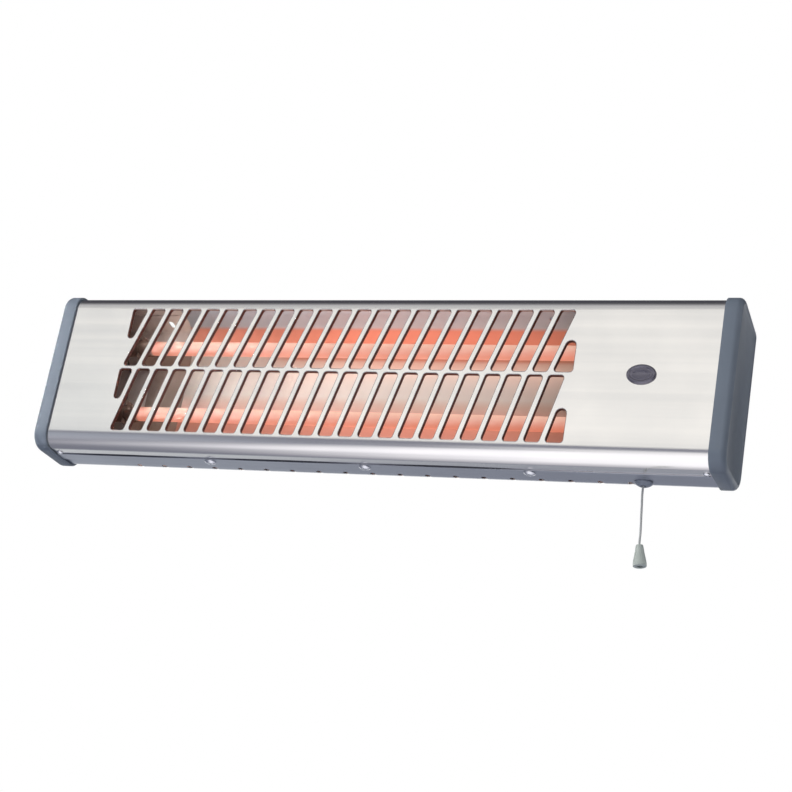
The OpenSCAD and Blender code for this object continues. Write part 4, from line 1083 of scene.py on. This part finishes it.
@dataclass
class FrontCover(Part):
    """Folded steel cover with rolled slot edges, one sheet from lip to lip."""

    shape: BodyShape = field(default_factory=BodyShape)
    grille: Grille = field(default_factory=Grille)
    tuck: float = 4.0
    bend_steps: int = 26
    slot_steps: int = 6
    roll: tuple[Pair, ...] = (
        (1.15, 0.0), (1.0, -0.02), (0.82, 0.0), (0.6, 0.1), (0.38, 0.27),
        (0.19, 0.5), (0.05, 0.82), (0.0, 1.2), (0.0, 2.0), (0.0, 3.1),
    )
    """Rolled edge of a slot as distance outside the slot and depth."""

    def slot_edges(self) -> tuple[Array, list[Array], list[Array]]:
        """Carries the rolled edge round every slot: ring grown by roll[0] at depth roll[1].

        Returns:
            Points, quads of the edges, and the outermost ring of each slot.
        """
        points, quads, rims, start = [], [], [], 0
        for corners, radii in self.grille.outlines():
            grid = np.stack([
                np.insert(rounded_ring(corners, radii, out, self.slot_steps), 1, depth, axis=-1)
                for out, depth in self.roll
            ], axis=1)
            slots, rows, cols, _ = grid.shape
            points.append(grid.reshape(-1, 3))
            each = start + np.arange(slots) * rows * cols
            quads.append((grid_quads(rows, cols)[None] + each[:, None, None]).reshape(-1, 4))
            rims.extend(each[:, None] + np.arange(cols))
            start += grid[..., 0].size
        return np.concatenate(points), quads, rims

    def bend(self, low: bool) -> Array:
        """Gives the (depth, height) run of a lip from the face round its bend.

        Args:
            low: Whether it is the lower lip.

        Returns:
            Array (n, 2), from the face to the lip's end.
        """
        ring = self.shape.ring(0.0, self.bend_steps).reshape(4, -1, 2)
        arc = ring[0] if low else ring[3][::-1]
        slope = 0.0 if low else -self.shape.top_fall / self.shape.depth
        end = [self.shape.lip, arc[-1, 1] + (self.shape.lip - arc[-1, 0]) * slope]
        return np.concatenate([arc, [end]])

    def build(self) -> None:
        """Makes the cover and gives it its thickness."""
        half = self.shape.length / 2 + self.tuck
        edge_points, quads, rims = self.slot_edges()
        low, high = self.bend(True), self.bend(False)
        foot, top = low[0, 1], high[0, 1]
        border = np.array([[-half, 0, foot], [half, 0, foot], [half, 0, top], [-half, 0, top]])
        flat = self.fill_face(edge_points, rims, border)
        strips, start = [], len(edge_points) + len(border)
        for run, turn in ((low, -1), (high, 1)):
            strips.append(strip(run, 0, (-half, half)).reshape(-1, 3))
            quads.append(grid_quads(len(run), 2, wrap=False, start=start)[:, ::turn])
            start += len(strips[-1])
        points = to_row(np.concatenate([edge_points, border, *strips]))
        mesh = make_mesh("front_cover_sheet", points, [np.concatenate(quads), flat], merge=True)
        self.turn_outwards(mesh)
        piece = self.finishes.dress(mesh, "cover_steel", "front_cover")
        self.keep_flat(mesh)
        solidify(piece, self.shape.sheet, -1.0)

    @staticmethod
    def fill_face(edge_points: Array, rims: list[Array], border: Array) -> Array:
        """Fills the flat face between its border and the slots' rims.

        Args:
            edge_points: Points of the slot edges.
            rims: Rings of their indices.
            border: The face's four corners, stored after edge_points.

        Returns:
            Triangles (n, 3) as indices.
        """
        rings = [*rims, len(edge_points) + np.arange(len(border))]
        index = np.concatenate(rings)
        runs = np.split(np.arange(len(index)), np.cumsum([len(ring) for ring in rings])[:-1])
        edges = np.concatenate([np.stack([run, np.roll(run, -1)], axis=1) for run in runs])
        outline = bpy.data.meshes.new("face_outline")
        outline.from_pydata(np.concatenate([edge_points, border])[index], edges, [])
        with edited(outline) as work:
            bmesh.ops.triangle_fill(work, use_beauty=True, use_dissolve=False, edges=work.edges)
        triangles = corner_points(outline).reshape(-1, 3)
        bpy.data.meshes.remove(outline)
        return index[triangles]

    @staticmethod
    def keep_flat(mesh: Mesh) -> None:
        """Makes the sheet's ends and the border of the flat face sharp, so that shading stays flat."""
        least_facing = 0.99999
        with edited(mesh) as work:
            flat = {f.index for f in work.faces if abs(f.normal.y) > least_facing}
            for edge in work.edges:
                sides = [f.index in flat for f in edge.link_faces]
                if len(sides) == 1 or any(sides) != all(sides):
                    edge.smooth = False

    @staticmethod
    def turn_outwards(mesh: Mesh) -> None:
        """Makes every face of the open sheet agree, with the flat face towards the room."""
        with edited(mesh) as work:
            bmesh.ops.recalc_face_normals(work, faces=work.faces)
            if sum(f.normal.y * f.calc_area() for f in work.faces) > 0:
                bmesh.ops.reverse_faces(work, faces=work.faces)


@dataclass
class EndCap(Part):
    """Grey plastic cap with a proud rim that closes one end of the body."""

    side: int = 1
    shape: BodyShape = field(default_factory=BodyShape)
    thickness: float = 13.0
    rim: float = 2.0
    rim_edge: Pair = (0.5, 0.15)
    edge: float = 4.5
    wall: float = 2.0
    plug: float = 12.0
    dish: float = 0.6
    dish_edge: float = 0.08
    dish_run: Triple = (0.5, 0.95, 1.4)
    groove: float = 4.2
    groove_edge: float = 0.25
    seat: float = 0.2
    edge_steps: int = 9
    bend_steps: int = 10

    @property
    def profile(self) -> Array:
        """Wall of the cap as (distance from the end plane, distance outside the body)."""
        inner, foot = -(self.shape.sheet + self.seat), self.rim - self.edge
        broad, fine = self.rim_edge
        start = [
            [-self.plug, inner - self.wall], [-self.plug, inner], [0, inner], [self.groove, inner],
            [self.groove, self.seat], [self.groove_edge, self.seat], [0, self.seat + self.groove_edge],
            [0, self.rim - broad], [fine, self.rim - fine], [broad, self.rim],
        ]
        a = np.linspace(0, np.pi / 2, self.edge_steps + 1)
        arc = np.stack([
            self.thickness - self.edge * (1 - np.sin(a)), self.rim - self.edge * (1 - np.cos(a)),
        ], axis=1)
        sinks = (self.dish_edge, self.dish * 0.5, self.dish)
        end = [[self.thickness - sink, foot - run] for sink, run in zip(sinks, self.dish_run)]
        return np.concatenate([start, arc, end])

    def build(self) -> None:
        """Makes the cap: the body's outline grown by the profile, ring after ring."""
        end = self.shape.length / 2
        deep = end + self.thickness - self.dish - self.wall
        places = [*((end + x, out) for x, out in self.profile), (deep, self.profile[0, 1])]
        rings = np.stack([
            np.insert(self.shape.ring(out, self.bend_steps), 0, self.side * x, axis=1) for x, out in places
        ])
        rows, cols, _ = rings.shape
        k = np.arange(cols)
        deepest, outer = (rows - 1) * cols + k, (rows - 2) * cols + k
        inside = np.stack([deepest, np.roll(deepest, -1), np.roll(k, -1), k], axis=1)
        faces = [np.concatenate([grid_quads(rows - 1, cols), inside]), np.stack([outer, deepest[::-1]])]
        name = "right_end_cap" if self.side > 0 else "left_end_cap"
        faces = [f if self.side > 0 else f[:, ::-1] for f in faces]
        mesh = make_mesh(name + "_moulding", to_row(rings.reshape(-1, 3)), faces, merge=True)
        self.finishes.dress(mesh, "cap_plastic", name, crease=40.0)


@dataclass
class Badge(Part):
    """Bare oval badge with a raised rim."""

    x: float = 222.5
    length: float = 23.2
    height: float = 16.2
    steps: int = 96
    profile: tuple[Pair, ...] = (
        (0.0, -0.05), (0.0, 0.7), (0.12, 1.15), (0.4, 1.6), (0.8, 2.0), (1.25, 2.27),
        (1.7, 2.35), (2.15, 2.3), (2.5, 2.08), (2.75, 1.82), (3.2, 1.74), (4.2, 1.76),
        (4.4, 1.9), (4.9, 1.92), (5.1, 1.78), (8.05, 1.86),
    )
    """Distance in from the edge, and distance proud of the face."""

    def build(self) -> None:
        """Makes the badge: ellipses that shrink by s and stand proud by p."""
        a = round_angles(self.steps)
        shrink, proud = np.split(np.array(self.profile), 2, axis=1)
        rings = np.stack([
            self.x + (self.length / 2 - shrink) * np.cos(a), -proud + 0 * a,
            (self.height / 2 - shrink) * np.sin(a),
        ], axis=-1)
        size = rings.shape[:2]
        mesh = make_mesh("badge_oval", to_row(rings.reshape(-1, 3)), [grid_quads(*size), end_faces(*size)])
        self.finishes.dress(mesh, "badge_plastic", "badge", crease=50.0)


# ----------------------------------- tubes


@dataclass
class QuartzTube(Part):
    """Milky quartz tube with fire-polished ends, and the coil inside it."""

    upper: bool = True
    left: float = -216.0
    bare: float = 398.0
    socket: float = 7.9
    depth: float = 30.0
    rise: float = 30.0
    radius: float = 6.0
    wall: float = 1.0
    lip: tuple[Pair, ...] = ((0.0, 0.5), (0.2, 0.1), (0.5, 0.0), (0.85, 0.15), (1.0, 0.5))
    """Polished end as distance out from the bore and distance from the tube's end."""
    round_steps: int = 40
    turns: int = 132
    turn_steps: int = 10
    tail_steps: int = 6
    coil_radius: float = 3.05
    wire: float = 0.9
    wire_sides: int = 5

    def build(self) -> None:
        """Makes the tube as a lathe along x and the coil as a helix."""
        word = "upper" if self.upper else "lower"
        axis = np.array([0.0, self.depth, self.rise if self.upper else -self.rise])
        start, end = self.left - self.socket, self.left + self.bare + self.socket
        lip = np.array(self.lip) + [self.radius - self.wall, 0.0]
        near, far = lip + [0.0, start], lip * [1, -1] + [0.0, end]
        turned, faces = lathe(np.concatenate([near, far[::-1], near[:1]]), self.round_steps)
        mesh = make_mesh(word + "_tube_glass", to_row(turned[:, [2, 0, 1]] + axis), faces, merge=True)
        self.finishes.dress(mesh, "quartz", word + "_quartz_tube")
        points, faces = self.coil()
        mesh = make_mesh(word + "_coil_wire", to_row(points + axis), faces)
        self.finishes.dress(mesh, "coil_wire", word + "_heating_coil")

    def coil(self) -> tuple[Array, list[Array]]:
        """Makes the coil: x runs along, (y, z) = r (cos, sin), with straight tails.

        Returns:
            Points round the tube's axis, and faces.
        """
        n = self.turns * self.turn_steps
        t = np.arange(n + 1) / n
        a = 2 * np.pi * self.turns * t
        reach = self.coil_radius * np.clip(np.minimum(t, 1 - t) * n / self.tail_steps, 0, 1)
        helix = np.stack([self.left + self.bare * t, reach * np.cos(a), reach * np.sin(a)], axis=1)
        right = self.left + self.bare
        tail = [[self.left - self.socket, 0, 0], [self.left - self.socket / 2, 0, 0]]
        tail_end = [[right + self.socket / 2, 0, 0], [right + self.socket, 0, 0]]
        path = np.concatenate([tail, helix, tail_end])
        return tube_along(path, self.wire / 2, self.wire_sides, (0.02, 0.01, 1.0))


@dataclass
class Reflector(Part):
    """Polished trough behind the tubes, with feet at its ends."""

    left: float = -188.0
    length: float = 360.0
    back: float = 50.0
    front: float = 5.0
    edge_bend: float = 1.0
    edge_past: float = 2.0
    edge_rise: float = 60.0
    back_rise: float = 57.4
    trough: float = 29.0
    trough_steps: int = 20
    sheet: float = 0.5
    foot_rise: float = 30.0
    foot_half: float = 6.0
    foot_reach: float = 8.0
    holder: float = 55.1

    def profile(self) -> Array:
        """Gives the bright side of the trough as (depth, height), from its foot to its top."""
        edge = self.front - self.edge_past
        corners = np.array([
            [edge, -self.edge_rise], [self.back, -self.back_rise],
            [self.back, self.back_rise], [edge, self.edge_rise],
        ])
        radii = np.array([self.edge_bend, self.trough, self.trough, self.edge_bend])
        ring = rounded_ring(corners, radii, -self.sheet, self.trough_steps).reshape(4, -1, 2)
        slope = (self.edge_rise - self.back_rise) / (self.back - edge)
        depth, height = ring[2][-1]
        end = np.array([self.front, height + (depth - self.front) * slope])
        return np.concatenate([[end * [1, -1]], ring[1], ring[2], [end]])

    def build(self) -> None:
        """Makes the trough and its four bent feet as open strips with the sheet's thickness."""
        ends = (self.left, self.left + self.length)
        strips = [strip(self.profile(), 0, ends)]
        seat = self.holder - self.sheet
        for x, way in zip(ends, (1, -1)):
            path = np.array([[x, self.back - self.sheet], [x, seat], [x + way * self.foot_reach, seat]])
            for middle in (-self.foot_rise, self.foot_rise):
                strips.append(strip(path, 2, (middle - self.foot_half, middle + self.foot_half)))
        points = np.concatenate([part.reshape(-1, 3) for part in strips])
        starts = np.cumsum([0] + [2 * len(part) for part in strips])
        quads = [grid_quads(len(part), 2, wrap=False, start=start) for part, start in zip(strips, starts)]
        mesh = make_mesh("reflector_trough", to_row(points), [np.concatenate(quads)])
        solidify(self.finishes.dress(mesh, "reflector_metal", "reflector"), self.sheet, 1.0)


# ----------------------------------- pull cord


@dataclass
class PullCord(Part):
    """The cord that hangs from its guide, with the knot and the bell-shaped knob."""

    x: float = 223.0
    depth: float = 40.7
    start: float = -73.1
    diameter: float = 1.8
    route: tuple[Triple, ...] = (
        (0, 0, 0), (0.15, 0, -8), (0.8, 0.1, -16), (1.35, 0.2, -24),
        (1.95, 0.3, -32), (2.4, 0.4, -39), (2.5, 0.5, -45), (3.04, 0.5, -49),
    )
    route_steps: int = 2
    rings: int = 12
    sides: int = 18
    twists: float = 11.0
    strands: int = 3
    strand_depth: float = 0.07
    knot_drop: float = 10.0
    knot_size: float = 0.42
    knot_strand: float = 0.62
    knot_steps: int = 90
    knot_sides: int = 10
    tail_stop: float = 0.4
    tail_rings: int = 14
    tail_sides: int = 12
    tail_share: float = 0.95
    tail_run: int = 50
    knob_lean: float = 7.7
    knob_height: float = 17.0
    knob_foot: float = 10.4
    knob_top: float = 5.6
    knob_rise: float = 2.0
    knob_wall: float = 0.4
    knob_curve_steps: int = 5
    bore_slip: float = 0.1
    knob_hollow: float = 9.5
    knob_steps: int = 56

    @property
    def path(self) -> Array:
        """Middle line of the cord in the face frame."""
        place = np.array([self.x, self.depth, self.start])
        return smooth_curve(np.array(self.route, float), self.route_steps) + place

    def on_end(self, points: Array) -> Array:
        """Hangs points on the cord's end: (x cos a - z sin a, y, x sin a + z cos a) for the lean a."""
        a = np.radians(self.knob_lean)
        lean = np.array([[np.cos(a), 0, -np.sin(a)], [0, 1, 0], [np.sin(a), 0, np.cos(a)]])
        return to_row(points @ lean.T + self.path[-1])

    def build(self) -> None:
        cord, knot, knob = self.build_cord(), self.build_knot(), self.build_knob()

    def build_cord(self) -> Object:
        """Makes the twisted cord: its radius is R (0.93 + 0.07 cos(3 a - twist)).

        Its UV map runs from 0 to 1 along it and round it, and past 1 on the last strip round.

        Returns:
            The cord's object.
        """
        path = smooth_curve(self.path, self.rings)
        turn = np.linspace(0, 2 * np.pi * self.twists, len(path))
        wave = np.cos(self.strands * (round_angles(self.sides)[None] - turn[:, None]))
        radius = self.diameter / 2 * (1 + self.strand_depth * (wave - 1))
        points, faces = tube_along(path, radius, self.sides, (0, 1, 0))
        mesh = make_mesh("cord_twist", to_row(points), faces)
        corner = corner_points(mesh)
        around = corner % self.sides / self.sides
        quads = around[: faces[0].size].reshape(-1, 4)
        quads += quads.max(axis=1, keepdims=True) - quads > 0.5
        lay_uv(mesh, corner // self.sides / (len(path) - 1), around)
        return self.finishes.dress(mesh, "cord", "pull_cord", Body.PULL, crease=60.0)

    def build_knot(self) -> Object:
        """Makes the overhand knot as a trefoil: (sin t + 2 sin 2t, cos t - 2 cos 2t, -1.5 sin 3t).

        Returns:
            The knot's object.
        """
        t = round_angles(self.knot_steps)
        trefoil = np.stack([
            np.sin(t) + 2 * np.sin(2 * t), np.cos(t) - 2 * np.cos(2 * t), -1.5 * np.sin(3 * t),
        ], axis=1) * self.knot_size + np.array([0, 0, -self.knot_drop])
        points, faces = tube_along(trefoil, self.knot_strand, self.knot_sides, (0.1, 0.2, 1.0), closed=True)
        tail = np.linspace(np.zeros(3), [0, 0, self.tail_stop - self.knot_drop], self.tail_rings)
        thickness = self.diameter / 2 * self.tail_share
        more, more_faces = tube_along(tail, thickness, self.tail_sides, (0, 1, 0))
        shift = len(points)
        joined = self.on_end(np.concatenate([points, more]))
        mesh = make_mesh("cord_overhand", joined, [*faces, *(f + shift for f in more_faces)])
        corner = corner_points(mesh)
        in_knot, in_tail = np.divmod(corner, self.knot_sides), np.divmod(corner - shift, self.tail_sides)
        along = np.where(corner < shift, in_knot[0] / self.knot_steps, in_tail[0] / self.tail_run)
        around = np.where(corner < shift, in_knot[1] / self.knot_sides, in_tail[1] / self.tail_sides)
        lay_uv(mesh, along, around)
        return self.finishes.dress(mesh, "cord", "cord_knot", Body.PULL, crease=60.0)

    def build_knob(self) -> Object:
        """Makes the bell-shaped knob as a lathe, hollow from below.

        Returns:
            The knob's object.
        """
        h, foot, top = self.knob_height, self.knob_foot / 2, self.knob_top / 2
        bore, hollow = self.diameter / 2 + self.bore_slip, top - self.knob_wall
        outside = smooth_curve(np.array([
            [top - 0.65, 0.0], [top - 0.2, -0.14], [top, -0.65], [top + 0.42, -3.2],
            [top + 1.0, -h * 0.4], [foot - 0.25, -h * 0.75], [foot, -h * 0.87],
            [foot, -h + 0.75], [foot - 0.22, -h + 0.2], [foot - 0.7, -h],
        ]), self.knob_curve_steps)
        inside = [[hollow, -h], [hollow, -self.knob_hollow], [bore, -self.knob_hollow], [bore, 0.0]]
        turned, faces = lathe(np.concatenate([[[bore, 0.0]], outside, inside]), self.knob_steps)
        points = self.on_end(turned + np.array([0, 0, self.knob_rise]))
        mesh = make_mesh("knob_bell", points, faces, merge=True)
        return self.finishes.dress(mesh, "knob_plastic", "pull_knob", Body.PULL)


@dataclass
class CordGuide(Part):
    """Round bush under the body that the cord leaves through."""

    x: float = 223.0
    depth: float = 40.7
    top: float = -70.5
    round_steps: int = 56
    profile: tuple[Pair, ...] = (
        (1.5, -4.4), (4.8, -4.4), (4.8, -2.6), (6.1, -2.55), (6.1, -1.12), (4.8, -1.1),
        (4.8, 0.05), (6.7, 0.05), (7.0, 0.2), (7.1, 0.45), (7.1, 1.0), (7.0, 1.3),
        (6.6, 1.65), (5.9, 2.2), (5.0, 2.75), (4.2, 3.15), (3.4, 3.45), (3.1, 3.55),
        (2.75, 3.58), (2.4, 3.4), (1.9, 2.9), (1.55, 2.4), (1.5, 2.0), (1.5, -4.4),
    )
    """Radius, and distance down from the body's underside."""

    def build(self) -> None:
        """Makes the bush as a lathe that points down."""
        turned, faces = lathe(np.array(self.profile) * [1, -1], self.round_steps)
        points = to_row(turned + np.array([self.x, self.depth, self.top]))
        mesh = make_mesh("cord_guide_bush", points, [f[:, ::-1] for f in faces], merge=True)
        self.finishes.dress(mesh, "guide_plastic", "cord_guide")


# ----------------------------------- CAD pieces with softened edges


@dataclass
class SoftenedPieces(Part):
    """CAD pieces whose shape is right, with their sharp edges broken as in the real ones."""

    widths: dict[str, float] = field(default_factory=lambda: {
        "rear_housing": 0.12, "bottom_cover_screws": 0.2, "top_cover_screws": 0.2, "cap_screws": 0.12,
        "left_tube_holder": 0.12, "right_tube_holder": 0.12, "panel_rivets": 0.25, "lug_rivets": 0.25,
        "upper_left_ceramic": 0.5, "lower_left_ceramic": 0.5,
        "upper_right_ceramic": 0.5, "lower_right_ceramic": 0.5,
        "tube_terminals": 0.15, "pull_switch_body": 0.4, "switch_bracket": 0.15, "switch_drum": 0.2,
        "terminal_block": 0.35, "terminal_screws": 0.12, "cable_clamp": 0.5, "clamp_screws": 0.15,
        "cable_grommet": 0.4, "earth_screw": 0.2, "left_tilt_lug": 0.25, "right_tilt_lug": 0.25,
        "left_wall_bracket": 0.3, "right_wall_bracket": 0.3, "pivot_bolts": 0.3, "friction_washers": 0.12,
        "wing_nuts": 0.4, "jumper_wire": 0.0, "neutral_wire": 0.0, "live_wires": 0.0, "earth_wire": 0.0,
        "return_spring": 0.0, "inner_cord": 0.0,
    })
    edge_angle: float = 33.0
    flat_angle: float = 0.5

    def build(self) -> None:
        """Makes a softened copy of each listed node and lets it stand for the node."""
        record = frame["record"]
        slots = {part["node"]: part["material_slot"] for part in record["subparts"]}
        bodies = {node: body for body, nodes in record["behaviour"]["bodies"].items() for node in nodes}
        for node, width in self.widths.items():
            mesh = self.merged_copy(node)
            piece = self.finishes.dress(mesh, slots[node], node, Body(bodies[node]), self.edge_angle)
            if width:
                edge = piece.modifiers.new("broken edges", "BEVEL")
                edge.width, edge.segments = width * MM, 2
                edge.limit_method, edge.angle_limit = "ANGLE", np.radians(self.edge_angle)
                edge.use_clamp_overlap = True
            normals = piece.modifiers.new("flat faces stay flat", "WEIGHTED_NORMAL")
            normals.keep_sharp = True

    def merged_copy(self, node: str) -> Mesh:
        """Copies a node's loose triangles into one merged mesh with its flat faces whole.

        Args:
            node: Name of the CAD node.

        Returns:
            The new mesh.
        """
        source = frame["nodes"][node].data
        points = np.zeros(len(source.vertices) * 3, np.float32)
        source.vertices.foreach_get("co", points)
        place, (kept,) = weld(points.reshape(-1, 3).astype(float), [corner_points(source).reshape(-1, 3)])
        mesh = make_mesh(node + "_soft", place, [kept[(kept != np.roll(kept, 1, axis=1)).all(axis=1)]])
        with edited(mesh) as work:
            flat = np.radians(self.flat_angle)
            bmesh.ops.dissolve_limit(work, angle_limit=flat, verts=work.verts, edges=work.edges)
        return mesh


# ----------------------------------- stage


def add_sheet(name: str, axis: int, level: float, area: Sequence[float], material: Material) -> None:
    """Adds a flat sheet of the studio, square to one axis.

    Args:
        name: Name of the sheet.
        axis: The axis that it is square to.
        level: Its place on that axis in metres.
        area: Its low and high ends on each of the two other axes.
        material: Its material.
    """
    low, high, under, over = area
    corners = np.array([[low, under], [high, under], [high, over], [low, over]])
    mesh = make_mesh(name, np.insert(corners, axis, level, axis=1), [np.array([[0, 1, 2, 3]])])
    mesh.materials.append(material)
    link(name, mesh)


@dataclass(frozen=True)
class Patch:
    """Soft-edged rectangle of one colour on a studio card."""

    area: Four
    fade: Four
    colour: Triple

    def paint(self, sh: Shader, sides: Sequence[NodeSocket], under: object) -> NodeSocket:
        """Lays the patch over a colour.

        Args:
            sh: The card's helper.
            sides: Places along the card's two sides.
            under: The colour below.

        Returns:
            The colour with the patch on it.
        """
        mask: object = 1.0
        for k, edge in enumerate(self.area):
            inwards = 1 if k % 2 == 0 else -1
            mask = sh.times(mask, sh.span(sides[k // 2], edge, edge + inwards * self.fade[k]))
        return sh.mix(mask, under, self.colour)


@dataclass(frozen=True)
class Card:
    """Studio card that shows in metal and gloss only, and neither blocks nor gives other light."""

    name: str
    axis: int
    level: float
    area: Four
    colour: Triple
    patches: tuple[Patch, ...] = ()

    def build(self) -> None:
        """Makes the card square to one axis at a level, over an area of the two other axes."""
        material = bpy.data.materials.new("card_" + self.name)
        sh = Shader(bare_tree(material))
        place = sh.split(sh.add("TexCoord").outputs["Object"])
        sides = [place[k] for k in range(3) if k != self.axis]
        colour: object = self.colour
        for patch in self.patches:
            colour = patch.paint(sh, sides, colour)
        shown = sh.add("Emission", Color=colour, Strength=1.0)
        glossy = sh.add("LightPath").outputs["Is Glossy Ray"]
        sh.add("OutputMaterial", Surface=sh.blend_shaders(glossy, sh.add("BsdfTransparent"), shown))
        add_sheet("card_" + self.name, self.axis, self.level, self.area, material)


STUDIO_CARDS = (
    Card("wall", 1, -2.3, (-6.0, 2.0, -1.2, 2.2), (1.0, 1.0, 1.0), (
        Patch((-6.5, 2.5, 0.97, 2.6), (0.1, 0.1, 0.6, 0.1), (0.55, 0.55, 0.57)),
        Patch((-6.5, -1.0, 0.0, 1.15), (0.1, 0.9, 0.5, 0.35), (0.78, 0.82, 0.845)),
        Patch((-6.5, -1.0, -1.5, 0.80), (0.1, 0.8, 0.1, 0.4), (0.46, 0.48, 0.55)),
        Patch((-6.5, 2.5, -1.4, 0.58), (0.1, 0.1, 0.10, 0.22), (0.24, 0.25, 0.31)),
        Patch((-6.5, -1.1, -1.4, 0.2), (0.1, 0.5, 0.1, 0.45), (0.37, 0.40, 0.48)),
        Patch((-0.85, 2.5, -1.4, -0.15), (0.4, 0.1, 0.1, 0.6), (1.0, 1.0, 1.06)),
    )),
    Card("ceiling", 2, 2.2, (-6.0, 3.0, -2.3, 6.0), (0.07, 0.07, 0.085), (
        Patch((-6.5, 3.5, -3.0, -0.2), (0.1, 0.1, 0.1, 1.9), (0.58, 0.58, 0.61)),
    )),
    Card("floor", 2, -1.2, (-6.0, 3.0, -2.3, 6.0), (0.19, 0.20, 0.255), (
        Patch((-1.0, 3.5, -0.2, 1.8), (0.7, 0.1, 0.3, 0.8), (0.58, 0.58, 0.65)),
        Patch((-6.5, -0.9, -3.5, -0.6), (0.1, 0.6, 0.1, 0.7), (0.38, 0.40, 0.48)),
        Patch((-6.5, 3.5, 1.2, 6.5), (0.1, 0.1, 1.2, 0.1), (0.30, 0.32, 0.38)),
        Patch((-6.5, -0.8, 1.2, 6.5), (0.1, 1.4, 1.2, 0.1), (0.60, 0.63, 0.67)),
        Patch((-1.25, 1.5, -2.9, 0.2), (0.9, 0.1, 0.8, 0.8), (1.12, 1.12, 1.22)),
        Patch((-0.75, 1.5, -1.3, 0.9), (0.7, 0.1, 0.6, 0.9), (1.12, 1.12, 1.2)),
        Patch((-0.8, 1.5, -3.5, -0.3), (0.4, 0.1, 0.1, 0.6), (1.12, 1.12, 1.2)),
    )),
    Card("side", 0, 2.2, (-2.2, 2.2, -1.1, 1.1), (1.0, 1.0, 1.0), (
        Patch((-2.2, 2.2, -1.1, 1.1), (0.9, 0.9, 0.4, 0.4), (0.10, 0.11, 0.15)),
    )),
)


@dataclass(frozen=True)
class Lamp:
    """Square soft lamp in metres, watts and degrees that neither the camera nor gloss sees."""

    name: str
    place: Triple
    size: float
    power: float
    aim: Triple = (0.0, 0.0, 0.0)
    spread: float = 180.0

    def build(self) -> None:
        """Adds the lamp and turns it to the point that it aims at."""
        data = bpy.data.lights.new(self.name, "AREA")
        data.size, data.energy, data.spread = self.size, self.power, np.radians(self.spread)
        lamp = link(self.name, data)
        lamp.visible_glossy = False
        lamp.visible_camera = False
        away = unit(np.array(self.place) - self.aim)
        side = unit(np.cross([0.0, 0.0, 1.0], away))
        set_place(lamp, self.place, (side, np.cross(away, side), away))


STUDIO_LAMPS = (
    Lamp("key", (-0.95, -0.75, 0.3), 0.6, 9.0),
    Lamp("front", (0.1, -1.6, 0.15), 0.5, 5.0),
    Lamp("left_slots", (-0.30, -1.3, 0.05), 0.2, 0.12, (-0.21, -0.05, 0.0), 14.0),
)


@dataclass
class Studio:
    """Camera at the photograph's angle, pale surroundings and soft lamps."""

    location: Triple = (0.6164, -1.4151, -0.5651)
    right: Triple = (0.9242, 0.3449, 0.1643)
    up: Triple = (-0.0188, -0.3885, 0.9213)
    back: Triple = (0.3815, -0.8545, -0.3525)
    lens: float = 89.79
    sensor: float = 36.0
    clip_end: float = 50.0
    floor_height: float = -1.25
    floor_reach: float = 6.0
    floor_colour: Triple = (0.74, 0.76, 0.86)
    room_colour: Triple = (0.92, 0.94, 0.97)
    room_strength: float = 0.55

    def build_camera(self) -> None:
        """Adds the camera and makes it the scene's."""
        camera = link("camera", bpy.data.cameras.new("camera"))
        camera.data.lens = self.lens
        camera.data.sensor_width = self.sensor
        camera.data.clip_end = self.clip_end
        set_place(camera, self.location, (self.right, self.up, self.back))
        bpy.context.scene.camera = camera

    def build(self) -> None:
        """Adds the floor, the world, the lamps and the cards."""
        bpy.context.scene.view_settings.view_transform = "Standard"
        self.build_floor()
        self.build_world()
        for item in (*STUDIO_LAMPS, *STUDIO_CARDS):
            item.build()

    def build_floor(self) -> None:
        """Adds a matt floor of one pale blue-grey."""
        material = bpy.data.materials.new("floor_pale")
        sh = Shader(bare_tree(material))
        sh.add("OutputMaterial", Surface=sh.add("BsdfDiffuse", Color=self.floor_colour).outputs[0])
        reach = self.floor_reach
        add_sheet("floor", 2, self.floor_height, (-reach, reach, -reach, reach), material)

    def build_world(self) -> None:
        """Makes the surroundings: white to the camera, a soft room to the object."""
        world = bpy.data.worlds.new("room")
        bpy.context.scene.world = world
        sh = Shader(bare_tree(world))
        room = sh.add("Background", Color=self.room_colour, Strength=self.room_strength)
        shown = sh.add("Background", Color=(1.0, 1.0, 1.0), Strength=1.0)
        rays = sh.add("LightPath").outputs
        seen = sh.math("MAXIMUM", rays["Is Camera Ray"], rays["Is Transmission Ray"])
        seen = sh.math("MAXIMUM", seen, rays["Is Glossy Ray"])
        sh.add("OutputWorld", Surface=sh.blend_shaders(seen, room, shown))


def main() -> None:
    """Builds the heater, piece by piece."""
    logging.basicConfig(level=logging.INFO, format="%(name)s %(message)s")
    finishes = Finishes()
    studio = Studio()
    studio.build_camera()
    PullCord(finishes).build()
    for part in (
        FrontCover(finishes), EndCap(finishes, side=-1), EndCap(finishes, side=1), Badge(finishes),
        QuartzTube(finishes, upper=True), QuartzTube(finishes, upper=False), Reflector(finishes),
        CordGuide(finishes), SoftenedPieces(finishes),
    ):
        part.build()
    studio.build()


if __name__ == "__main__":
    main()
